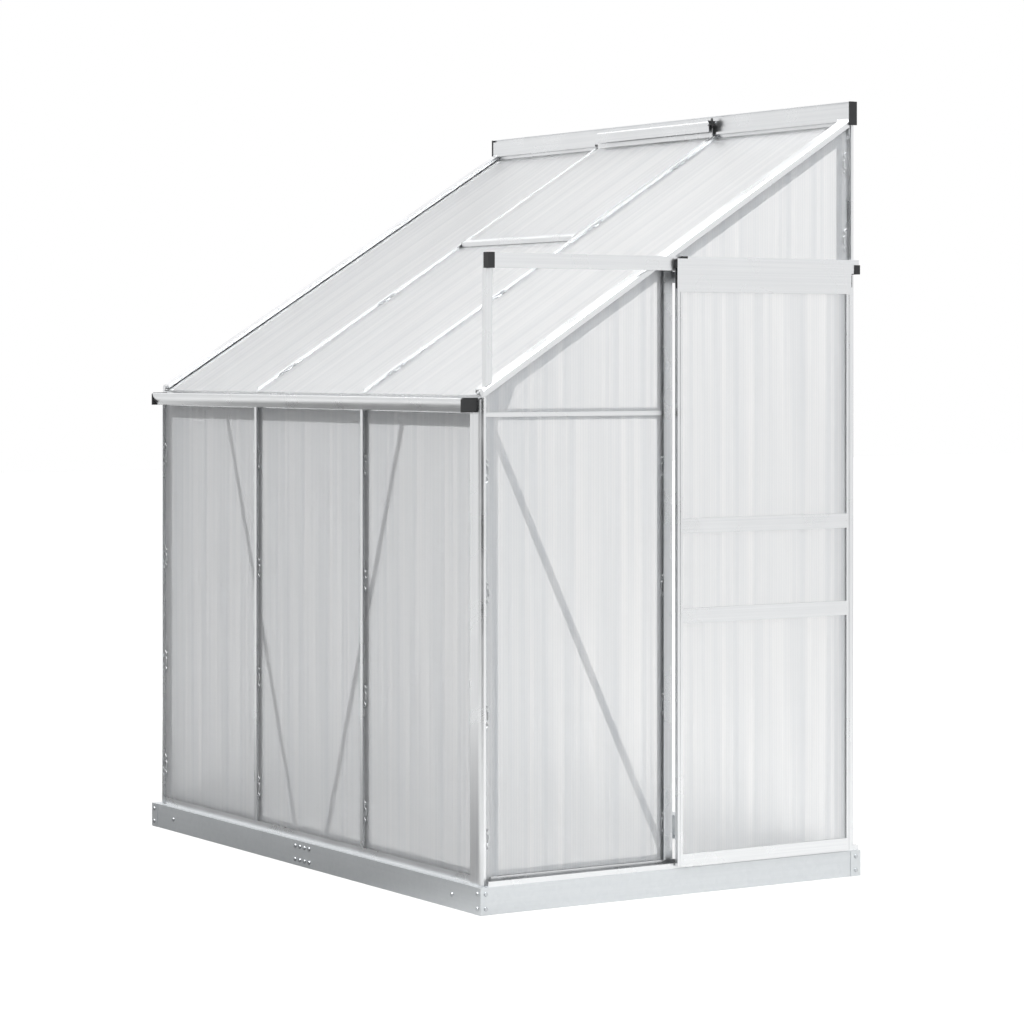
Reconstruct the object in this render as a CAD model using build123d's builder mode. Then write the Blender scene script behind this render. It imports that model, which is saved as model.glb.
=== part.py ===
"""Lean-to greenhouse with a sliding end door and a hinged roof vent.

Millimetres. X runs along the front wall towards the door end, -Y is the front with the gutter,
+Y is the house wall, +Z is up. The origin is the middle of the whole object's footprint, on the ground.
"""

import math
import os

from build123d import *

os.makedirs("parts", exist_ok=True)

# Overall size
length = 1920.0
depth = 1270.0
height = 2140.0
eave_height = 1340.0
gutter_overhang = 32.0
door_overhang = 12.0

# Galvanised base of folded sheet
base_height = 70.0
base_sheet = 1.2
base_flange = 38.0
bracket_leg = 34.0
bracket_sheet = 1.5
joint_plate_length = 120.0
joint_plate_sheet = 1.5
joint_plate_margin = 5.0
joint_bolt_pitch = 27.0
joint_bolt_count = 4
bolt_edge_inset = 16.0
single_bolt_inset = 142.0
anchor_inset = 150.0
anchor_hole_radius = 5.0

# Bolts
bolt_head_radius = 6.0
bolt_head_height = 3.0
bolt_head_taper = 25.0
bolt_radius = 3.0
bolt_clearance = 0.1
nut_radius = 5.5
nut_height = 4.0
wall_screw_radius = 3.5
wall_screw_rise = 328.5
wall_screw_drop = 387.0

# Walls: how far the outer planes stand in from the base, and the glazing bar's section
end_setback = 24.0
front_setback = 15.0
seat_depth = 12.0
flange_sheet = 1.5
bar_flange = 50.0
spine_thickness = 2.0
head_width = 13.0
head_sheet = 1.5
post_box = 16.0
post_box_radius = 14.0
post_wall = 1.5
post_flange_reach = 58.0
post_cover = 53.0
rafter_skirt = 34.0
rafter_box_below = 4.0
rafter_top = 16.0
rafter_round = 8.0
rafter_cover = 40.0
rafter_cover_sheet = 3.5
rafter_cover_edge = 2.0
rafter_edge_rise = 7.0
rafter_flange_reach = 72.0

# Sills
sill_sheet = 1.5
sill_inner = 22.0
sill_lip_height = 20.0
sill_lip_gap = 0.7
sill_upstand = 35.0

# Panes
pane = 4.0
pane_gap = 1.5
pane_top_gap = 4.0
pane_roof_gap = 2.0

# Gutter and ridge
gutter_drop = 50.0
gutter_rim = 36.0
gutter_sheet = 1.5
gutter_lip = 6.0
gutter_skirt = 40.0
gutter_left_gap = 34.0
gutter_right_gap = 17.0
cap_thickness = 6.0
cap_lap = 1.0
gutter_cap_depth = 57.0
cap_round = 5.0
cap_chamfer = 9.0
ridge_depth = 23.0
ridge_face = 53.0
ridge_cap_height = 65.0
ridge_skirt = 40.0
ridge_sheet = 1.5
ridge_groove_drop = 7.0
ridge_groove_depth = 6.0
ridge_bead_reach = 10.0
ridge_bead_drop = 2.0
ridge_bead_height = 7.0
ridge_bead_gap = 1.5
drip = 8.0

# Gable bars, gussets and braces
gable_bar_drop = 57.0
gable_bar_width = 12.0
gable_bar_flange = 30.0
gable_bar_rise = 6.0
header_drop = 59.0
gusset_sheet = 1.5
gusset_reach = 117.0
gusset_foot = 85.0
brace_width = 20.0
brace_sheet = 2.0
front_brace_reach = 206.0
front_brace_foot = 85.0
brace_end_rise = 18.0
end_brace_drop = 21.0
end_brace_rise = 50.0
end_brace_inset = 20.0

# Door and its track
door_width = 586.0
door_post_room = 51.5
door_post_head = 22.0
door_lap = 8.5
door_floor_gap = 7.0
door_thickness = 12.0
stile_width = 17.0
top_rail_height = 89.0
bottom_rail_height = 32.0
mid_rail_height = 39.5
mid_rail_rises = (646.0, 886.0)
groove_depth = 8.0
groove_play = 0.2
rail_wall = 2.0
line_width = 2.0
line_depth = 1.0
top_rail_lines = (26.0, 60.0)
track_rise = 17.0
door_lap_over_track = 32.0
track_height = 38.0
track_depth = 22.0
track_sheet = 1.5
track_slot = 5.0
track_bead = 0.6
track_bead_height = 2.0
track_bead_rises = (10.0, 26.0)
track_front_inset = 11.0
track_back_gap = 6.0
track_cap_sheet = 1.5
track_cap_skirt = 17.0
track_back_cap_drop = 14.0
track_post_size = 19.0
track_post_wall = 1.6
track_post_inset = 5.0
roller_radius = 11.0
roller_width = 4.5
roller_inset = 1.0
roller_play = 0.2
axle_radius = 3.0
axle_clearance = 0.05
hanger_sheet = 3.0
hanger_width = 28.0
hanger_inset = 50.0
hanger_drop = 22.0
hanger_foot = 25.0
hanger_head = 8.0
guide_width = 14.0
guide_wall = 2.0
guide_height = 14.0
guide_outer_gap = 4.0
fin_sheet = 2.0
fin_reach = 12.0
fin_arm = 13.0
fin_depth = 16.0
plug_heights = (20.0, 33.0)
plug_drops = (4.0, 37.0)
plug_length = 3.0
plug_width = 10.0
plug_tab = 6.0

# Roof vent
vent_length = 490.0
vent_side_gap = 3.0
vent_rest_gap = 0.4
vent_shelf = 6.8
vent_sheet = 1.6
vent_side_shelf = 16.0
vent_side_height = 14.0
vent_nose = 14.0
vent_nose_low = 4.8
vent_nose_high = 16.0
vent_shelf_reach = 26.0
vent_sill_depth = 26.0
vent_sill_upstand = 6.0
hinge_standoff = 9.0
hinge_drop = 20.0
hinge_rod_radius = 4.0
hinge_ring_radius = 6.5
hinge_clearance = 0.05
hinge_web = 2.0
rail_end_gap = 1.0
hinge_mouth_low = -20.0
hinge_mouth_high = 66.0
vent_lip_reach = 15.0
vent_lip_drop = 27.0
vent_web_inset = 1.0
vent_top_shelf = 30.0
stay_length = 240.0
stay_width = 12.0
stay_thickness = 4.0
stay_hole_radius = 3.5
stay_hole_pitch = 40.0
stay_hole_count = 5
stay_pin_radius = 2.5
stay_setback = 18.0
stay_drop = 8.0
lug_sheet = 3.0
lug_gap = 1.0
lug_half = 5.0
peg_offset = 21.0
peg_plate = 18.0
peg_sheet = 1.5
peg_radius = 3.0
peg_rise = 6.0
plug_star_outer = 15.0
plug_star_inner = 6.5
plug_star_thickness = 8.0

# Wire glazing clips
clip_length = 66.0
clip_width = 12.0
clip_wire = 2.0
clip_rise = 118.0
clip_drop = 152.0
clip_rows = 4
clip_roof_steps = (0.09, 0.365, 0.64, 0.89)
clip_over_header = (111.0, 322.0)

# Planes worked out from the sizes above
base_left = -length / 2 + bracket_sheet + bolt_head_height
base_right = length / 2 - door_overhang
base_front = -depth / 2 + gutter_overhang
base_back = depth / 2 - bracket_sheet - bolt_head_height
base_middle = (base_left + base_right) / 2
left_wall = base_left + end_setback
right_wall = base_right - end_setback
front_wall = base_front + front_setback
back_wall = depth / 2
front_seat = front_wall + seat_depth
bay = (right_wall - left_wall) / 3
bar_positions = (left_wall + bay, right_wall - bay)
sill_top = base_height + sill_sheet
lip_top = sill_top + sill_lip_height
upstand_top = sill_top + sill_upstand
lip_offset = pane + sill_lip_gap
post_back = front_wall + post_box
flange_front = front_wall + post_flange_reach
back_box = back_wall - post_box
flange_back = back_wall - post_flange_reach
roof_foot = front_wall + drip
ridge_front = back_wall - ridge_depth
ridge_lip = height - ridge_face
ridge_bottom = ridge_lip - ridge_skirt
roof_slope = (ridge_lip - eave_height) / (ridge_front - front_wall)
roof_angle = math.atan(roof_slope)
gutter_floor = eave_height - gutter_drop
gable_bar_height = eave_height - gable_bar_drop
gutter_front = -depth / 2
gutter_back = front_seat + flange_sheet
gutter_left = left_wall + gutter_left_gap + cap_thickness
gutter_right = right_wall - gutter_right_gap - cap_thickness
door_post_y = back_wall - door_width - door_post_room
door_front = door_post_y + door_lap
door_back = door_front + door_width
door_inner = length / 2 - door_thickness
track_outer = right_wall + track_depth
track_front_end = front_wall + track_front_inset
track_back_end = back_wall - track_back_gap
roller_x = right_wall + track_depth / 2
roller_rows = (door_front + hanger_inset, door_back - hanger_inset)
hinge_y = ridge_front - hinge_standoff
hinge_height = height - hinge_drop
vent_lower_edge = ridge_front - vent_length
vent_left = bar_positions[0] + head_width / 2 + vent_side_gap
vent_right = bar_positions[1] - head_width / 2 - vent_side_gap
stay_y = vent_lower_edge + stay_setback


def roof_z(y, rise):
    """Height of the roof plane that lies rise above the pane seat, square to the slope, at depth y."""
    return eave_height + (y - front_wall) * roof_slope - (seat_depth - rise) / math.cos(roof_angle)


header_height = roof_z(door_post_y, seat_depth) - header_drop
track_bottom = header_height + track_rise
track_top = track_bottom + track_height
roller_z = track_bottom + track_sheet + roller_play + roller_radius
door_bottom = base_height + door_floor_gap
door_top = track_bottom + door_lap_over_track
mid_rail_bottoms = [door_bottom + rise for rise in mid_rail_rises]
stay_z = roof_z(stay_y, -stay_drop)
SIDES = ("left", "right")


def inward(side, distance):
    """X of the point that lies the given distance inside an end wall's outer plane."""
    return left_wall + distance if side == "left" else right_wall - distance


def either_side(middle, width):
    """Both limits of a strip of the given width about its middle line."""
    return middle - width / 2, middle + width / 2


def block(x0, x1, y0, y1, z0, z1, mode=Mode.ADD):
    """Rectangular bar between two corners, added to the part that is open."""
    with Locations(((x0 + x1) / 2, (y0 + y1) / 2, (z0 + z1) / 2)):
        Box(abs(x1 - x0), abs(y1 - y0), abs(z1 - z0), mode=mode)


def side_plate(x0, x1, *outline, mode=Mode.ADD):
    """Plate between two X planes, with a flat outline given as (y, z) points."""
    with BuildSketch(Plane.YZ.offset(min(x0, x1))) as shape:
        Polygon(*outline, align=None)
    extrude(shape.sketch, amount=abs(x1 - x0), mode=mode)


def roof_slab(x0, x1, y0, y1, low, high):
    """Strip that follows the roof between two heights over the pane seat, with upright ends."""
    outline = [(y0, roof_z(y0, low)), (y1, roof_z(y1, low)), (y1, roof_z(y1, high)), (y0, roof_z(y0, high))]
    side_plate(x0, x1, *outline)


def under_roof(x0, x1, y0, y1, z0, rise):
    """Upright plate whose top is cut along the roof at the given height over the pane seat."""
    side_plate(x0, x1, (y0, z0), (y1, z0), (y1, roof_z(y1, rise)), (y0, roof_z(y0, rise)))


def punch(planes, radius, reach):
    """Round holes through the open part, from each plane inwards."""
    with BuildSketch(*planes) as holes:
        Circle(radius)
    extrude(holes.sketch, amount=-reach, mode=Mode.SUBTRACT)


def finish(builder, name):
    """Label a finished piece and write it out."""
    builder.part.label = name
    export_step(builder.part, f"parts/{name}.step")


# Bolt places on the base: each plane lies on the outer face and looks outwards
bolt_rows = (bolt_edge_inset, base_height - bolt_edge_inset)
joint_start = base_middle - joint_bolt_pitch * (joint_bolt_count - 1) / 2
joint_columns = [joint_start + i * joint_bolt_pitch for i in range(joint_bolt_count)]
corner_x = (base_left - bracket_sheet + bolt_edge_inset, base_right + bracket_sheet - bolt_edge_inset)
corner_y = (base_front - bracket_sheet + bolt_edge_inset, base_back + bracket_sheet - bolt_edge_inset)
single_x = (base_left + single_bolt_inset, base_right - single_bolt_inset)


def face_planes(points, z_dir):
    """One plane for each point, all looking along z_dir."""
    return [Plane(origin=point, z_dir=z_dir) for point in points]


front_joint_bolts = face_planes([(x, base_front, z) for x in joint_columns for z in bolt_rows], (0, -1, 0))
back_joint_bolts = face_planes([(x, base_back, z) for x in joint_columns for z in bolt_rows], (0, 1, 0))
front_single_bolts = face_planes([(x, base_front, base_height / 2) for x in single_x], (0, -1, 0))
skin_front = base_front - bracket_sheet
skin_back = base_back + bracket_sheet
skin_left = base_left - bracket_sheet
skin_right = base_right + bracket_sheet
front_corner_bolts = face_planes([(x, skin_front, z) for x in corner_x for z in bolt_rows], (0, -1, 0))
back_corner_bolts = face_planes([(x, skin_back, z) for x in corner_x for z in bolt_rows], (0, 1, 0))
left_corner_bolts = face_planes([(skin_left, y, z) for y in corner_y for z in bolt_rows], (-1, 0, 0))
right_corner_bolts = face_planes([(skin_right, y, z) for y in corner_y for z in bolt_rows], (1, 0, 0))
corner_bolts = front_corner_bolts + back_corner_bolts + left_corner_bolts + right_corner_bolts
joint_bolts = front_joint_bolts + back_joint_bolts
hole_radius = bolt_radius + bolt_clearance
hole_reach = bracket_sheet + base_sheet + joint_plate_sheet


def long_base(outer_y, inwards, x0, x1, planes):
    """Half of a long base side: an upright web with a flange turned in at the top and the bottom."""
    with BuildPart() as half:
        block(x0, x1, outer_y, outer_y + inwards * base_sheet, 0, base_height)
        flange_x = (max(x0, base_left + base_sheet), min(x1, base_right - base_sheet))
        for z in (0, base_height - base_sheet):
            block(*flange_x, outer_y, outer_y + inwards * base_flange, z, z + base_sheet)
        punch(planes, hole_radius, hole_reach)
        anchor_y = outer_y + inwards * base_flange / 2
        anchors = [(x, anchor_y, 0) for x in (base_left + anchor_inset, base_right - anchor_inset)]
        punch(face_planes(anchors, (0, 0, -1)), anchor_hole_radius, base_sheet)
    return half


for row, outer, turn, planes in (
    ("front", base_front, 1, front_joint_bolts + front_single_bolts + front_corner_bolts),
    ("back", base_back, -1, back_joint_bolts + back_corner_bolts),
):
    finish(long_base(outer, turn, base_left, base_middle, planes), f"base_{row}_left")
    finish(long_base(outer, turn, base_middle, base_right, planes), f"base_{row}_right")


def base_end(outer_x, inwards, planes):
    """Short base side, fitted between the front and back flanges."""
    web_y = (base_front + base_sheet, base_back - base_sheet)
    flange_y = (base_front + base_flange, base_back - base_flange)
    with BuildPart() as end:
        block(outer_x, outer_x + inwards * base_sheet, *web_y, 0, base_height)
        for z in (0, base_height - base_sheet):
            block(outer_x, outer_x + inwards * base_flange, *flange_y, z, z + base_sheet)
        punch(planes, hole_radius, hole_reach)
    return end


finish(base_end(base_left, 1, left_corner_bolts), "base_end_left")
finish(base_end(base_right, -1, right_corner_bolts), "base_end_right")

# Angle brackets folded round the four corners of the base
with BuildPart() as brackets:
    for outer_x, along_x in ((base_left, 1), (base_right, -1)):
        for outer_y, along_y in ((base_front, 1), (base_back, -1)):
            skin_x = outer_x - along_x * bracket_sheet
            skin_y = outer_y - along_y * bracket_sheet
            block(skin_x, skin_x + along_x * bracket_leg, skin_y, outer_y, 0, base_height)
            block(skin_x, outer_x, skin_y, skin_y + along_y * bracket_leg, 0, base_height)
    punch(corner_bolts, hole_radius, bracket_sheet)
finish(brackets, "base_corner_brackets")

# Plates behind the joints of the front and back halves
plate_low = base_sheet + joint_plate_margin
plate_high = base_height - base_sheet - joint_plate_margin
with BuildPart() as joint_plates:
    plate_x = (base_middle - joint_plate_length / 2, base_middle + joint_plate_length / 2)
    for web, turn in ((base_front + base_sheet, 1), (base_back - base_sheet, -1)):
        block(*plate_x, web, web + turn * joint_plate_sheet, plate_low, plate_high)
    punch(joint_bolts, hole_radius, hole_reach)
finish(joint_plates, "base_joint_plates")

# Braces: the ends of each flat bar, on the inner face of what it is bolted to
front_brace_y = gutter_back + gutter_sheet
front_brace_ends = [
    (
        (base_middle + turn * (bay / 2 + front_brace_reach), gutter_floor - brace_end_rise),
        (base_middle + turn * front_brace_foot, sill_top + brace_end_rise),
    )
    for turn in (-1, 1)
]
end_brace_ends = (
    (post_back + end_brace_inset, gable_bar_height - end_brace_drop),
    (door_post_y - end_brace_inset / 2, sill_top + end_brace_rise),
)
end_brace_depths = (seat_depth + flange_sheet, seat_depth + flange_sheet + brace_sheet)
front_brace_bolts = face_planes(
    [(x, front_brace_y + brace_sheet, z) for ends in front_brace_ends for x, z in ends], (0, 1, 0)
)
end_brace_bolts = []
for side, turn in (("left", 1), ("right", -1)):
    inner = inward(side, end_brace_depths[1])
    end_brace_bolts += face_planes([(inner, y, z) for y, z in end_brace_ends], (turn, 0, 0))


def flat_bar(plane, start, end):
    """Flat bar with round ends between two points of a plane."""
    run = Vector(end[0] - start[0], end[1] - start[1])
    middle = ((start[0] + end[0]) / 2, (start[1] + end[1]) / 2)
    angle = math.degrees(math.atan2(run.Y, run.X))
    with BuildSketch(plane) as bar:
        with Locations(Location((*middle, 0), angle)):
            SlotCenterToCenter(run.length, brace_width)
    extrude(bar.sketch, amount=brace_sheet)


with BuildPart() as front_braces:
    back_view = Plane(origin=(0, front_brace_y, 0), x_dir=(-1, 0, 0), z_dir=(0, 1, 0))
    for top, foot in front_brace_ends:
        flat_bar(back_view, (-top[0], top[1]), (-foot[0], foot[1]))
    punch(front_brace_bolts, hole_radius, brace_sheet)
finish(front_braces, "front_braces")

with BuildPart() as end_braces:
    for side in SIDES:
        start_x = min(inward(side, distance) for distance in end_brace_depths)
        flat_bar(Plane.YZ.offset(start_x), *end_brace_ends)
    punch(end_brace_bolts, hole_radius, brace_sheet)
finish(end_braces, "end_braces")

# All bolts: domed heads outside, nuts inside where there is room for them
with BuildPart() as bolts:
    brace_bolts = front_brace_bolts + end_brace_bolts
    everywhere = corner_bolts + joint_bolts + front_single_bolts + brace_bolts
    with BuildSketch(*everywhere):
        Circle(bolt_head_radius)
    extrude(amount=bolt_head_height, taper=bolt_head_taper)
    for planes, grip in (
        (corner_bolts, bracket_sheet + base_sheet),
        (joint_bolts, base_sheet + joint_plate_sheet),
        (front_single_bolts, base_sheet),
    ):
        with BuildSketch(*planes):
            Circle(bolt_radius)
        extrude(amount=-grip)
        with BuildSketch(*[plane.offset(-grip) for plane in planes]):
            RegularPolygon(nut_radius, 6)
        extrude(amount=-nut_height)
    with BuildSketch(*brace_bolts):
        Circle(bolt_radius)
    extrude(amount=-brace_sheet)
finish(bolts, "bolts")

# Sills: a plate on the base, a low lip outside the panes and an upstand behind the bars
with BuildPart() as sill_front:
    block(left_wall, right_wall, front_wall, front_seat + sill_inner, base_height, sill_top)
    between_posts = (inward("left", post_box), inward("right", post_box))
    lip_outer = front_seat - lip_offset - sill_sheet
    block(*between_posts, lip_outer, lip_outer + sill_sheet, sill_top, lip_top)
    block(*between_posts, gutter_back, gutter_back + sill_sheet, sill_top, upstand_top)
finish(sill_front, "sill_front")


def sill_end(side, upstand_end):
    """Sill of an end wall; the upstand stops at upstand_end, so that a doorway stays low."""
    plate_x = (inward(side, 0), inward(side, seat_depth + sill_inner))
    lip_x = (inward(side, seat_depth - lip_offset), inward(side, seat_depth - lip_offset - sill_sheet))
    stand_x = (inward(side, seat_depth + flange_sheet), inward(side, seat_depth + flange_sheet + sill_sheet))
    sill_start = front_seat + sill_inner
    with BuildPart() as sill:
        block(*plate_x, sill_start, back_wall, base_height, sill_top)
        block(*lip_x, sill_start, back_box, sill_top, lip_top)
        block(*stand_x, sill_start, upstand_end, sill_top, upstand_top)
    return sill


finish(sill_end("left", back_box), "sill_end_left")
finish(sill_end("right", door_post_y + bar_flange / 2), "sill_end_right")


def corner_box(side, outer_y, inner_y, low, high):
    """Hollow square post on the sill, with its outer corner rounded."""
    for inset, mode in ((0, Mode.ADD), (post_wall, Mode.SUBTRACT)):
        shift = math.copysign(inset, inner_y - outer_y)
        near = (inward(side, inset), outer_y + shift)
        far = (inward(side, post_box - inset), inner_y - shift)
        with BuildSketch(Plane.XY.offset(low)) as square:
            Polygon(near, (far[0], near[1]), far, (near[0], far[1]), align=None)
            fillet(square.vertices().sort_by_distance((*near, 0))[0], post_box_radius - inset)
        extrude(square.sketch, amount=high - low, mode=mode)


def end_flange(side, y0, y1, z0):
    """Flange behind the end wall's panes, up to the rafter's skirt."""
    flange = seat_depth + flange_sheet
    under_roof(inward(side, seat_depth), inward(side, flange), y0, y1, z0, -rafter_skirt)


def corner_post(side):
    """Front corner post: a rounded box with a flange along the front wall and one along the end wall.

    The one at the door end also has a wide cover outside the front pane's edge.
    """
    with BuildPart() as post:
        corner_box(side, front_wall, post_back, sill_top, eave_height)
        cut = -rafter_box_below
        side_plate(
            inward(side, 0), inward(side, post_box),
            (front_wall - 1, roof_z(front_wall - 1, cut)), (post_back + 1, roof_z(post_back + 1, cut)),
            (post_back + 1, height), (front_wall - 1, height), mode=Mode.SUBTRACT,
        )
        flange_x = (inward(side, post_box), inward(side, post_flange_reach))
        block(*flange_x, front_seat, gutter_back, sill_top, gutter_floor)
        end_flange(side, post_back, flange_front, sill_top)
        if side == "right":
            cover_x = (inward(side, post_box_radius), inward(side, post_cover))
            edge_x = (inward(side, post_cover - post_wall), inward(side, post_cover))
            edge_y = (front_wall, front_seat - lip_offset)
            cover_top = gutter_floor - pane_top_gap
            block(*cover_x, front_wall, front_wall + post_wall, sill_top, cover_top)
            block(*edge_x, *edge_y, lip_top + sill_lip_gap, cover_top)
    return post


def back_post(side):
    """Post against the house wall, with screw holes through the flange that lies on the wall."""
    with BuildPart() as post:
        corner_box(side, back_wall, back_box, sill_top, ridge_lip)
        flange_x = (inward(side, post_box), inward(side, post_flange_reach))
        block(*flange_x, back_wall - flange_sheet, back_wall, sill_top, ridge_lip)
        end_flange(side, flange_back, back_box, sill_top)
        screw_x = inward(side, (post_box + post_flange_reach) / 2)
        screws = [(screw_x, back_wall, z) for z in (sill_top + wall_screw_rise, ridge_lip - wall_screw_drop)]
        punch(face_planes(screws, (0, 1, 0)), wall_screw_radius, flange_sheet)
    return post


def middle_post(side):
    """Bar of the end wall beside the doorway: flange behind the panes, spine between them, head outside."""
    spine_y = (door_post_y - spine_thickness / 2, door_post_y + spine_thickness / 2)
    head_y = either_side(door_post_y, door_post_head)
    with BuildPart() as post:
        end_flange(side, door_post_y - bar_flange / 2, door_post_y + bar_flange / 2, sill_top)
        under_roof(inward(side, 0), inward(side, seat_depth), *spine_y, lip_top, -rafter_box_below)
        under_roof(inward(side, 0), inward(side, head_sheet), *head_y, lip_top, -rafter_box_below)
    return post


for side in SIDES:
    finish(corner_post(side), f"corner_post_{side}")
    finish(back_post(side), f"back_post_{side}")
finish(middle_post("left"), "mid_post_left")
finish(middle_post("right"), "door_post")

# The two upright bars of the front wall
with BuildPart() as front_bars:
    for x in bar_positions:
        block(*either_side(x, bar_flange), front_seat, gutter_back, sill_top, gutter_floor)
        block(*either_side(x, spine_thickness), front_wall, front_seat, lip_top, gutter_floor)
        block(*either_side(x, head_width), front_wall, front_wall + head_sheet, lip_top, gutter_floor)
finish(front_bars, "front_bars")


def cross_bar(side, z, bays):
    """Level bar across an end wall, one length for each bay between two posts' spines and flanges."""
    rise = seat_depth - gable_bar_rise
    seat = inward(side, seat_depth)
    with BuildPart() as bar:
        for outer, inner in bays:
            block(seat, inward(side, seat_depth + flange_sheet), *inner, *either_side(z, gable_bar_flange))
            block(inward(side, rise), seat, *outer, *either_side(z, spine_thickness))
            block(inward(side, rise), inward(side, rise + head_sheet), *outer, *either_side(z, gable_bar_width))
    return bar


front_bay = ((post_back, door_post_y - spine_thickness / 2), (flange_front, door_post_y - bar_flange / 2))
back_bay = ((door_post_y + spine_thickness / 2, back_box), (door_post_y + bar_flange / 2, flange_back))
finish(cross_bar("left", gable_bar_height, (front_bay, back_bay)), "gable_bar_left")
finish(cross_bar("right", gable_bar_height, (front_bay,)), "gable_bar_right")
finish(cross_bar("right", header_height, (back_bay,)), "door_header")

# Gusset plates that tie the corner posts to the end rafters
with BuildPart() as gussets:
    foot_z = gutter_floor - pane_top_gap
    rise = -(rafter_skirt - pane)
    far_y = front_wall + gusset_reach
    outline = [(post_back, foot_z), (front_wall + gusset_foot, foot_z)]
    outline += [(y, roof_z(y, rise)) for y in (far_y, post_back)]
    for side in SIDES:
        plate = seat_depth + flange_sheet
        side_plate(inward(side, plate), inward(side, plate + gusset_sheet), *outline)
finish(gussets, "eave_gussets")

# Gutter: floor and front rim of a trough, and a back wall that reaches down behind the front bars
with BuildPart() as gutter:
    run = (gutter_left, gutter_right)
    rim = gutter_floor + gutter_rim
    skirt = gutter_floor - gutter_skirt
    block(*run, gutter_front, gutter_back + gutter_sheet, gutter_floor, gutter_floor + gutter_sheet)
    block(*run, gutter_front, gutter_front + gutter_sheet, gutter_floor, rim)
    block(*run, gutter_front, gutter_front + gutter_lip, rim - gutter_sheet, rim)
    under_roof(*run, gutter_back, gutter_back + gutter_sheet, skirt, -flange_sheet)
finish(gutter, "eave_gutter")

# Moulded caps on the ends of the gutter
with BuildPart() as gutter_caps:
    low = gutter_floor - cap_lap
    high = gutter_floor + gutter_rim + cap_lap
    back = gutter_front + gutter_cap_depth
    outline = [(gutter_front, low), (back, low), (back, high - cap_chamfer), (back - cap_chamfer, high)]
    outline += [(gutter_front + cap_round, high), (gutter_front, high - cap_round)]
    for end, turn in ((gutter_left, -1), (gutter_right, 1)):
        side_plate(end, end + turn * cap_thickness, *outline)
finish(gutter_caps, "gutter_caps")

# Ridge bar: front face over the roof panes with a groove above and a bead beside the vent, top, and a back
# that lies on the house wall
with BuildPart() as ridge:
    run = (left_wall, right_wall)
    ledge = height - ridge_groove_drop
    groove_back = ridge_front + ridge_groove_depth
    block(*run, ridge_front, ridge_front + ridge_sheet, ridge_bottom, ledge)
    block(*run, ridge_front, groove_back + ridge_sheet, ledge - ridge_sheet, ledge)
    block(*run, groove_back, groove_back + ridge_sheet, ledge - ridge_sheet, height)
    block(*run, ridge_front, back_wall, height - ridge_sheet, height)
    block(*run, back_wall - ridge_sheet, back_wall, ridge_lip, height)
    bead_low = ridge_lip - ridge_bead_drop
    head_room = head_width / 2 + ridge_bead_gap
    end_room = rafter_cover + ridge_bead_gap
    for bead_x in (
        (inward("left", end_room), bar_positions[0] - head_room),
        (bar_positions[1] + head_room, inward("right", end_room)),
    ):
        block(*bead_x, ridge_front - ridge_bead_reach, ridge_front, bead_low, bead_low + ridge_bead_height)
finish(ridge, "ridge_bar")

with BuildPart() as ridge_caps:
    for side in SIDES:
        cap_x = (inward(side, 0), inward(side, -cap_thickness))
        block(*cap_x, ridge_front - cap_lap, back_wall, height - ridge_cap_height, height)
finish(ridge_caps, "ridge_caps")


def end_rafter(side):
    """Rafter at an end wall: a box bar with a rounded top edge, a cover over the roof pane's edge, a flange
    under it, and a skirt behind the gable panes."""
    outer = inward(side, 0)
    box_low = -rafter_box_below
    run = (roof_foot, ridge_front)
    edge_x = (inward(side, rafter_cover - rafter_cover_edge), inward(side, rafter_cover))
    flange_x = (inward(side, post_box), inward(side, rafter_flange_reach))
    skirt_x = (inward(side, seat_depth), inward(side, seat_depth + flange_sheet))
    with BuildPart() as rafter:
        roof_slab(outer, inward(side, post_box), *run, box_low, rafter_top)
        roof_slab(outer, inward(side, rafter_cover), *run, rafter_top - rafter_cover_sheet, rafter_top)
        roof_slab(*edge_x, *run, rafter_edge_rise, rafter_top)
        roof_slab(*flange_x, *run, -flange_sheet, 0)
        roof_slab(*skirt_x, post_back, ridge_front, -rafter_skirt, box_low)
        outer_edges = rafter.edges().filter_by(lambda edge: math.isclose(edge.center().X, outer))
        fillet(outer_edges.sort_by(SortBy.LENGTH)[-2:].sort_by(Axis.Z)[-1], rafter_round)
    return rafter


for side in SIDES:
    finish(end_rafter(side), f"end_rafter_{side}")

# The two rafters between the roof panes
with BuildPart() as mid_rafters:
    for x in bar_positions:
        roof_slab(*either_side(x, bar_flange), roof_foot, ridge_front, -flange_sheet, 0)
        roof_slab(*either_side(x, spine_thickness), roof_foot, ridge_front, 0, seat_depth)
        roof_slab(*either_side(x, head_width), roof_foot, ridge_front, seat_depth - head_sheet, seat_depth)
finish(mid_rafters, "mid_rafters")

# Panes
pane_bays = (
    (inward("left", post_box + pane_gap), bar_positions[0] - spine_thickness / 2 - pane_gap),
    (bar_positions[0] + spine_thickness / 2 + pane_gap, bar_positions[1] - spine_thickness / 2 - pane_gap),
    (bar_positions[1] + spine_thickness / 2 + pane_gap, inward("right", post_box + pane_gap)),
)
pane_foot = front_wall + pane
pane_head = ridge_front - cap_lap

with BuildPart() as front_panels:
    for x0, x1 in pane_bays:
        block(x0, x1, front_seat - pane, front_seat, sill_top, gutter_floor - pane_top_gap)
finish(front_panels, "front_panels")

with BuildPart() as roof_panels:
    for (x0, x1), top in zip(pane_bays, (pane_head, vent_lower_edge - pane_roof_gap, pane_head)):
        roof_slab(x0, x1, pane_foot, top, 0, pane)
finish(roof_panels, "roof_panels")

post_edge = spine_thickness / 2 + pane_gap
bar_edge = spine_thickness / 2 + pane_gap
gable_top = -(rafter_box_below + pane_roof_gap)
gable_end = ridge_front - pane_roof_gap


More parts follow.
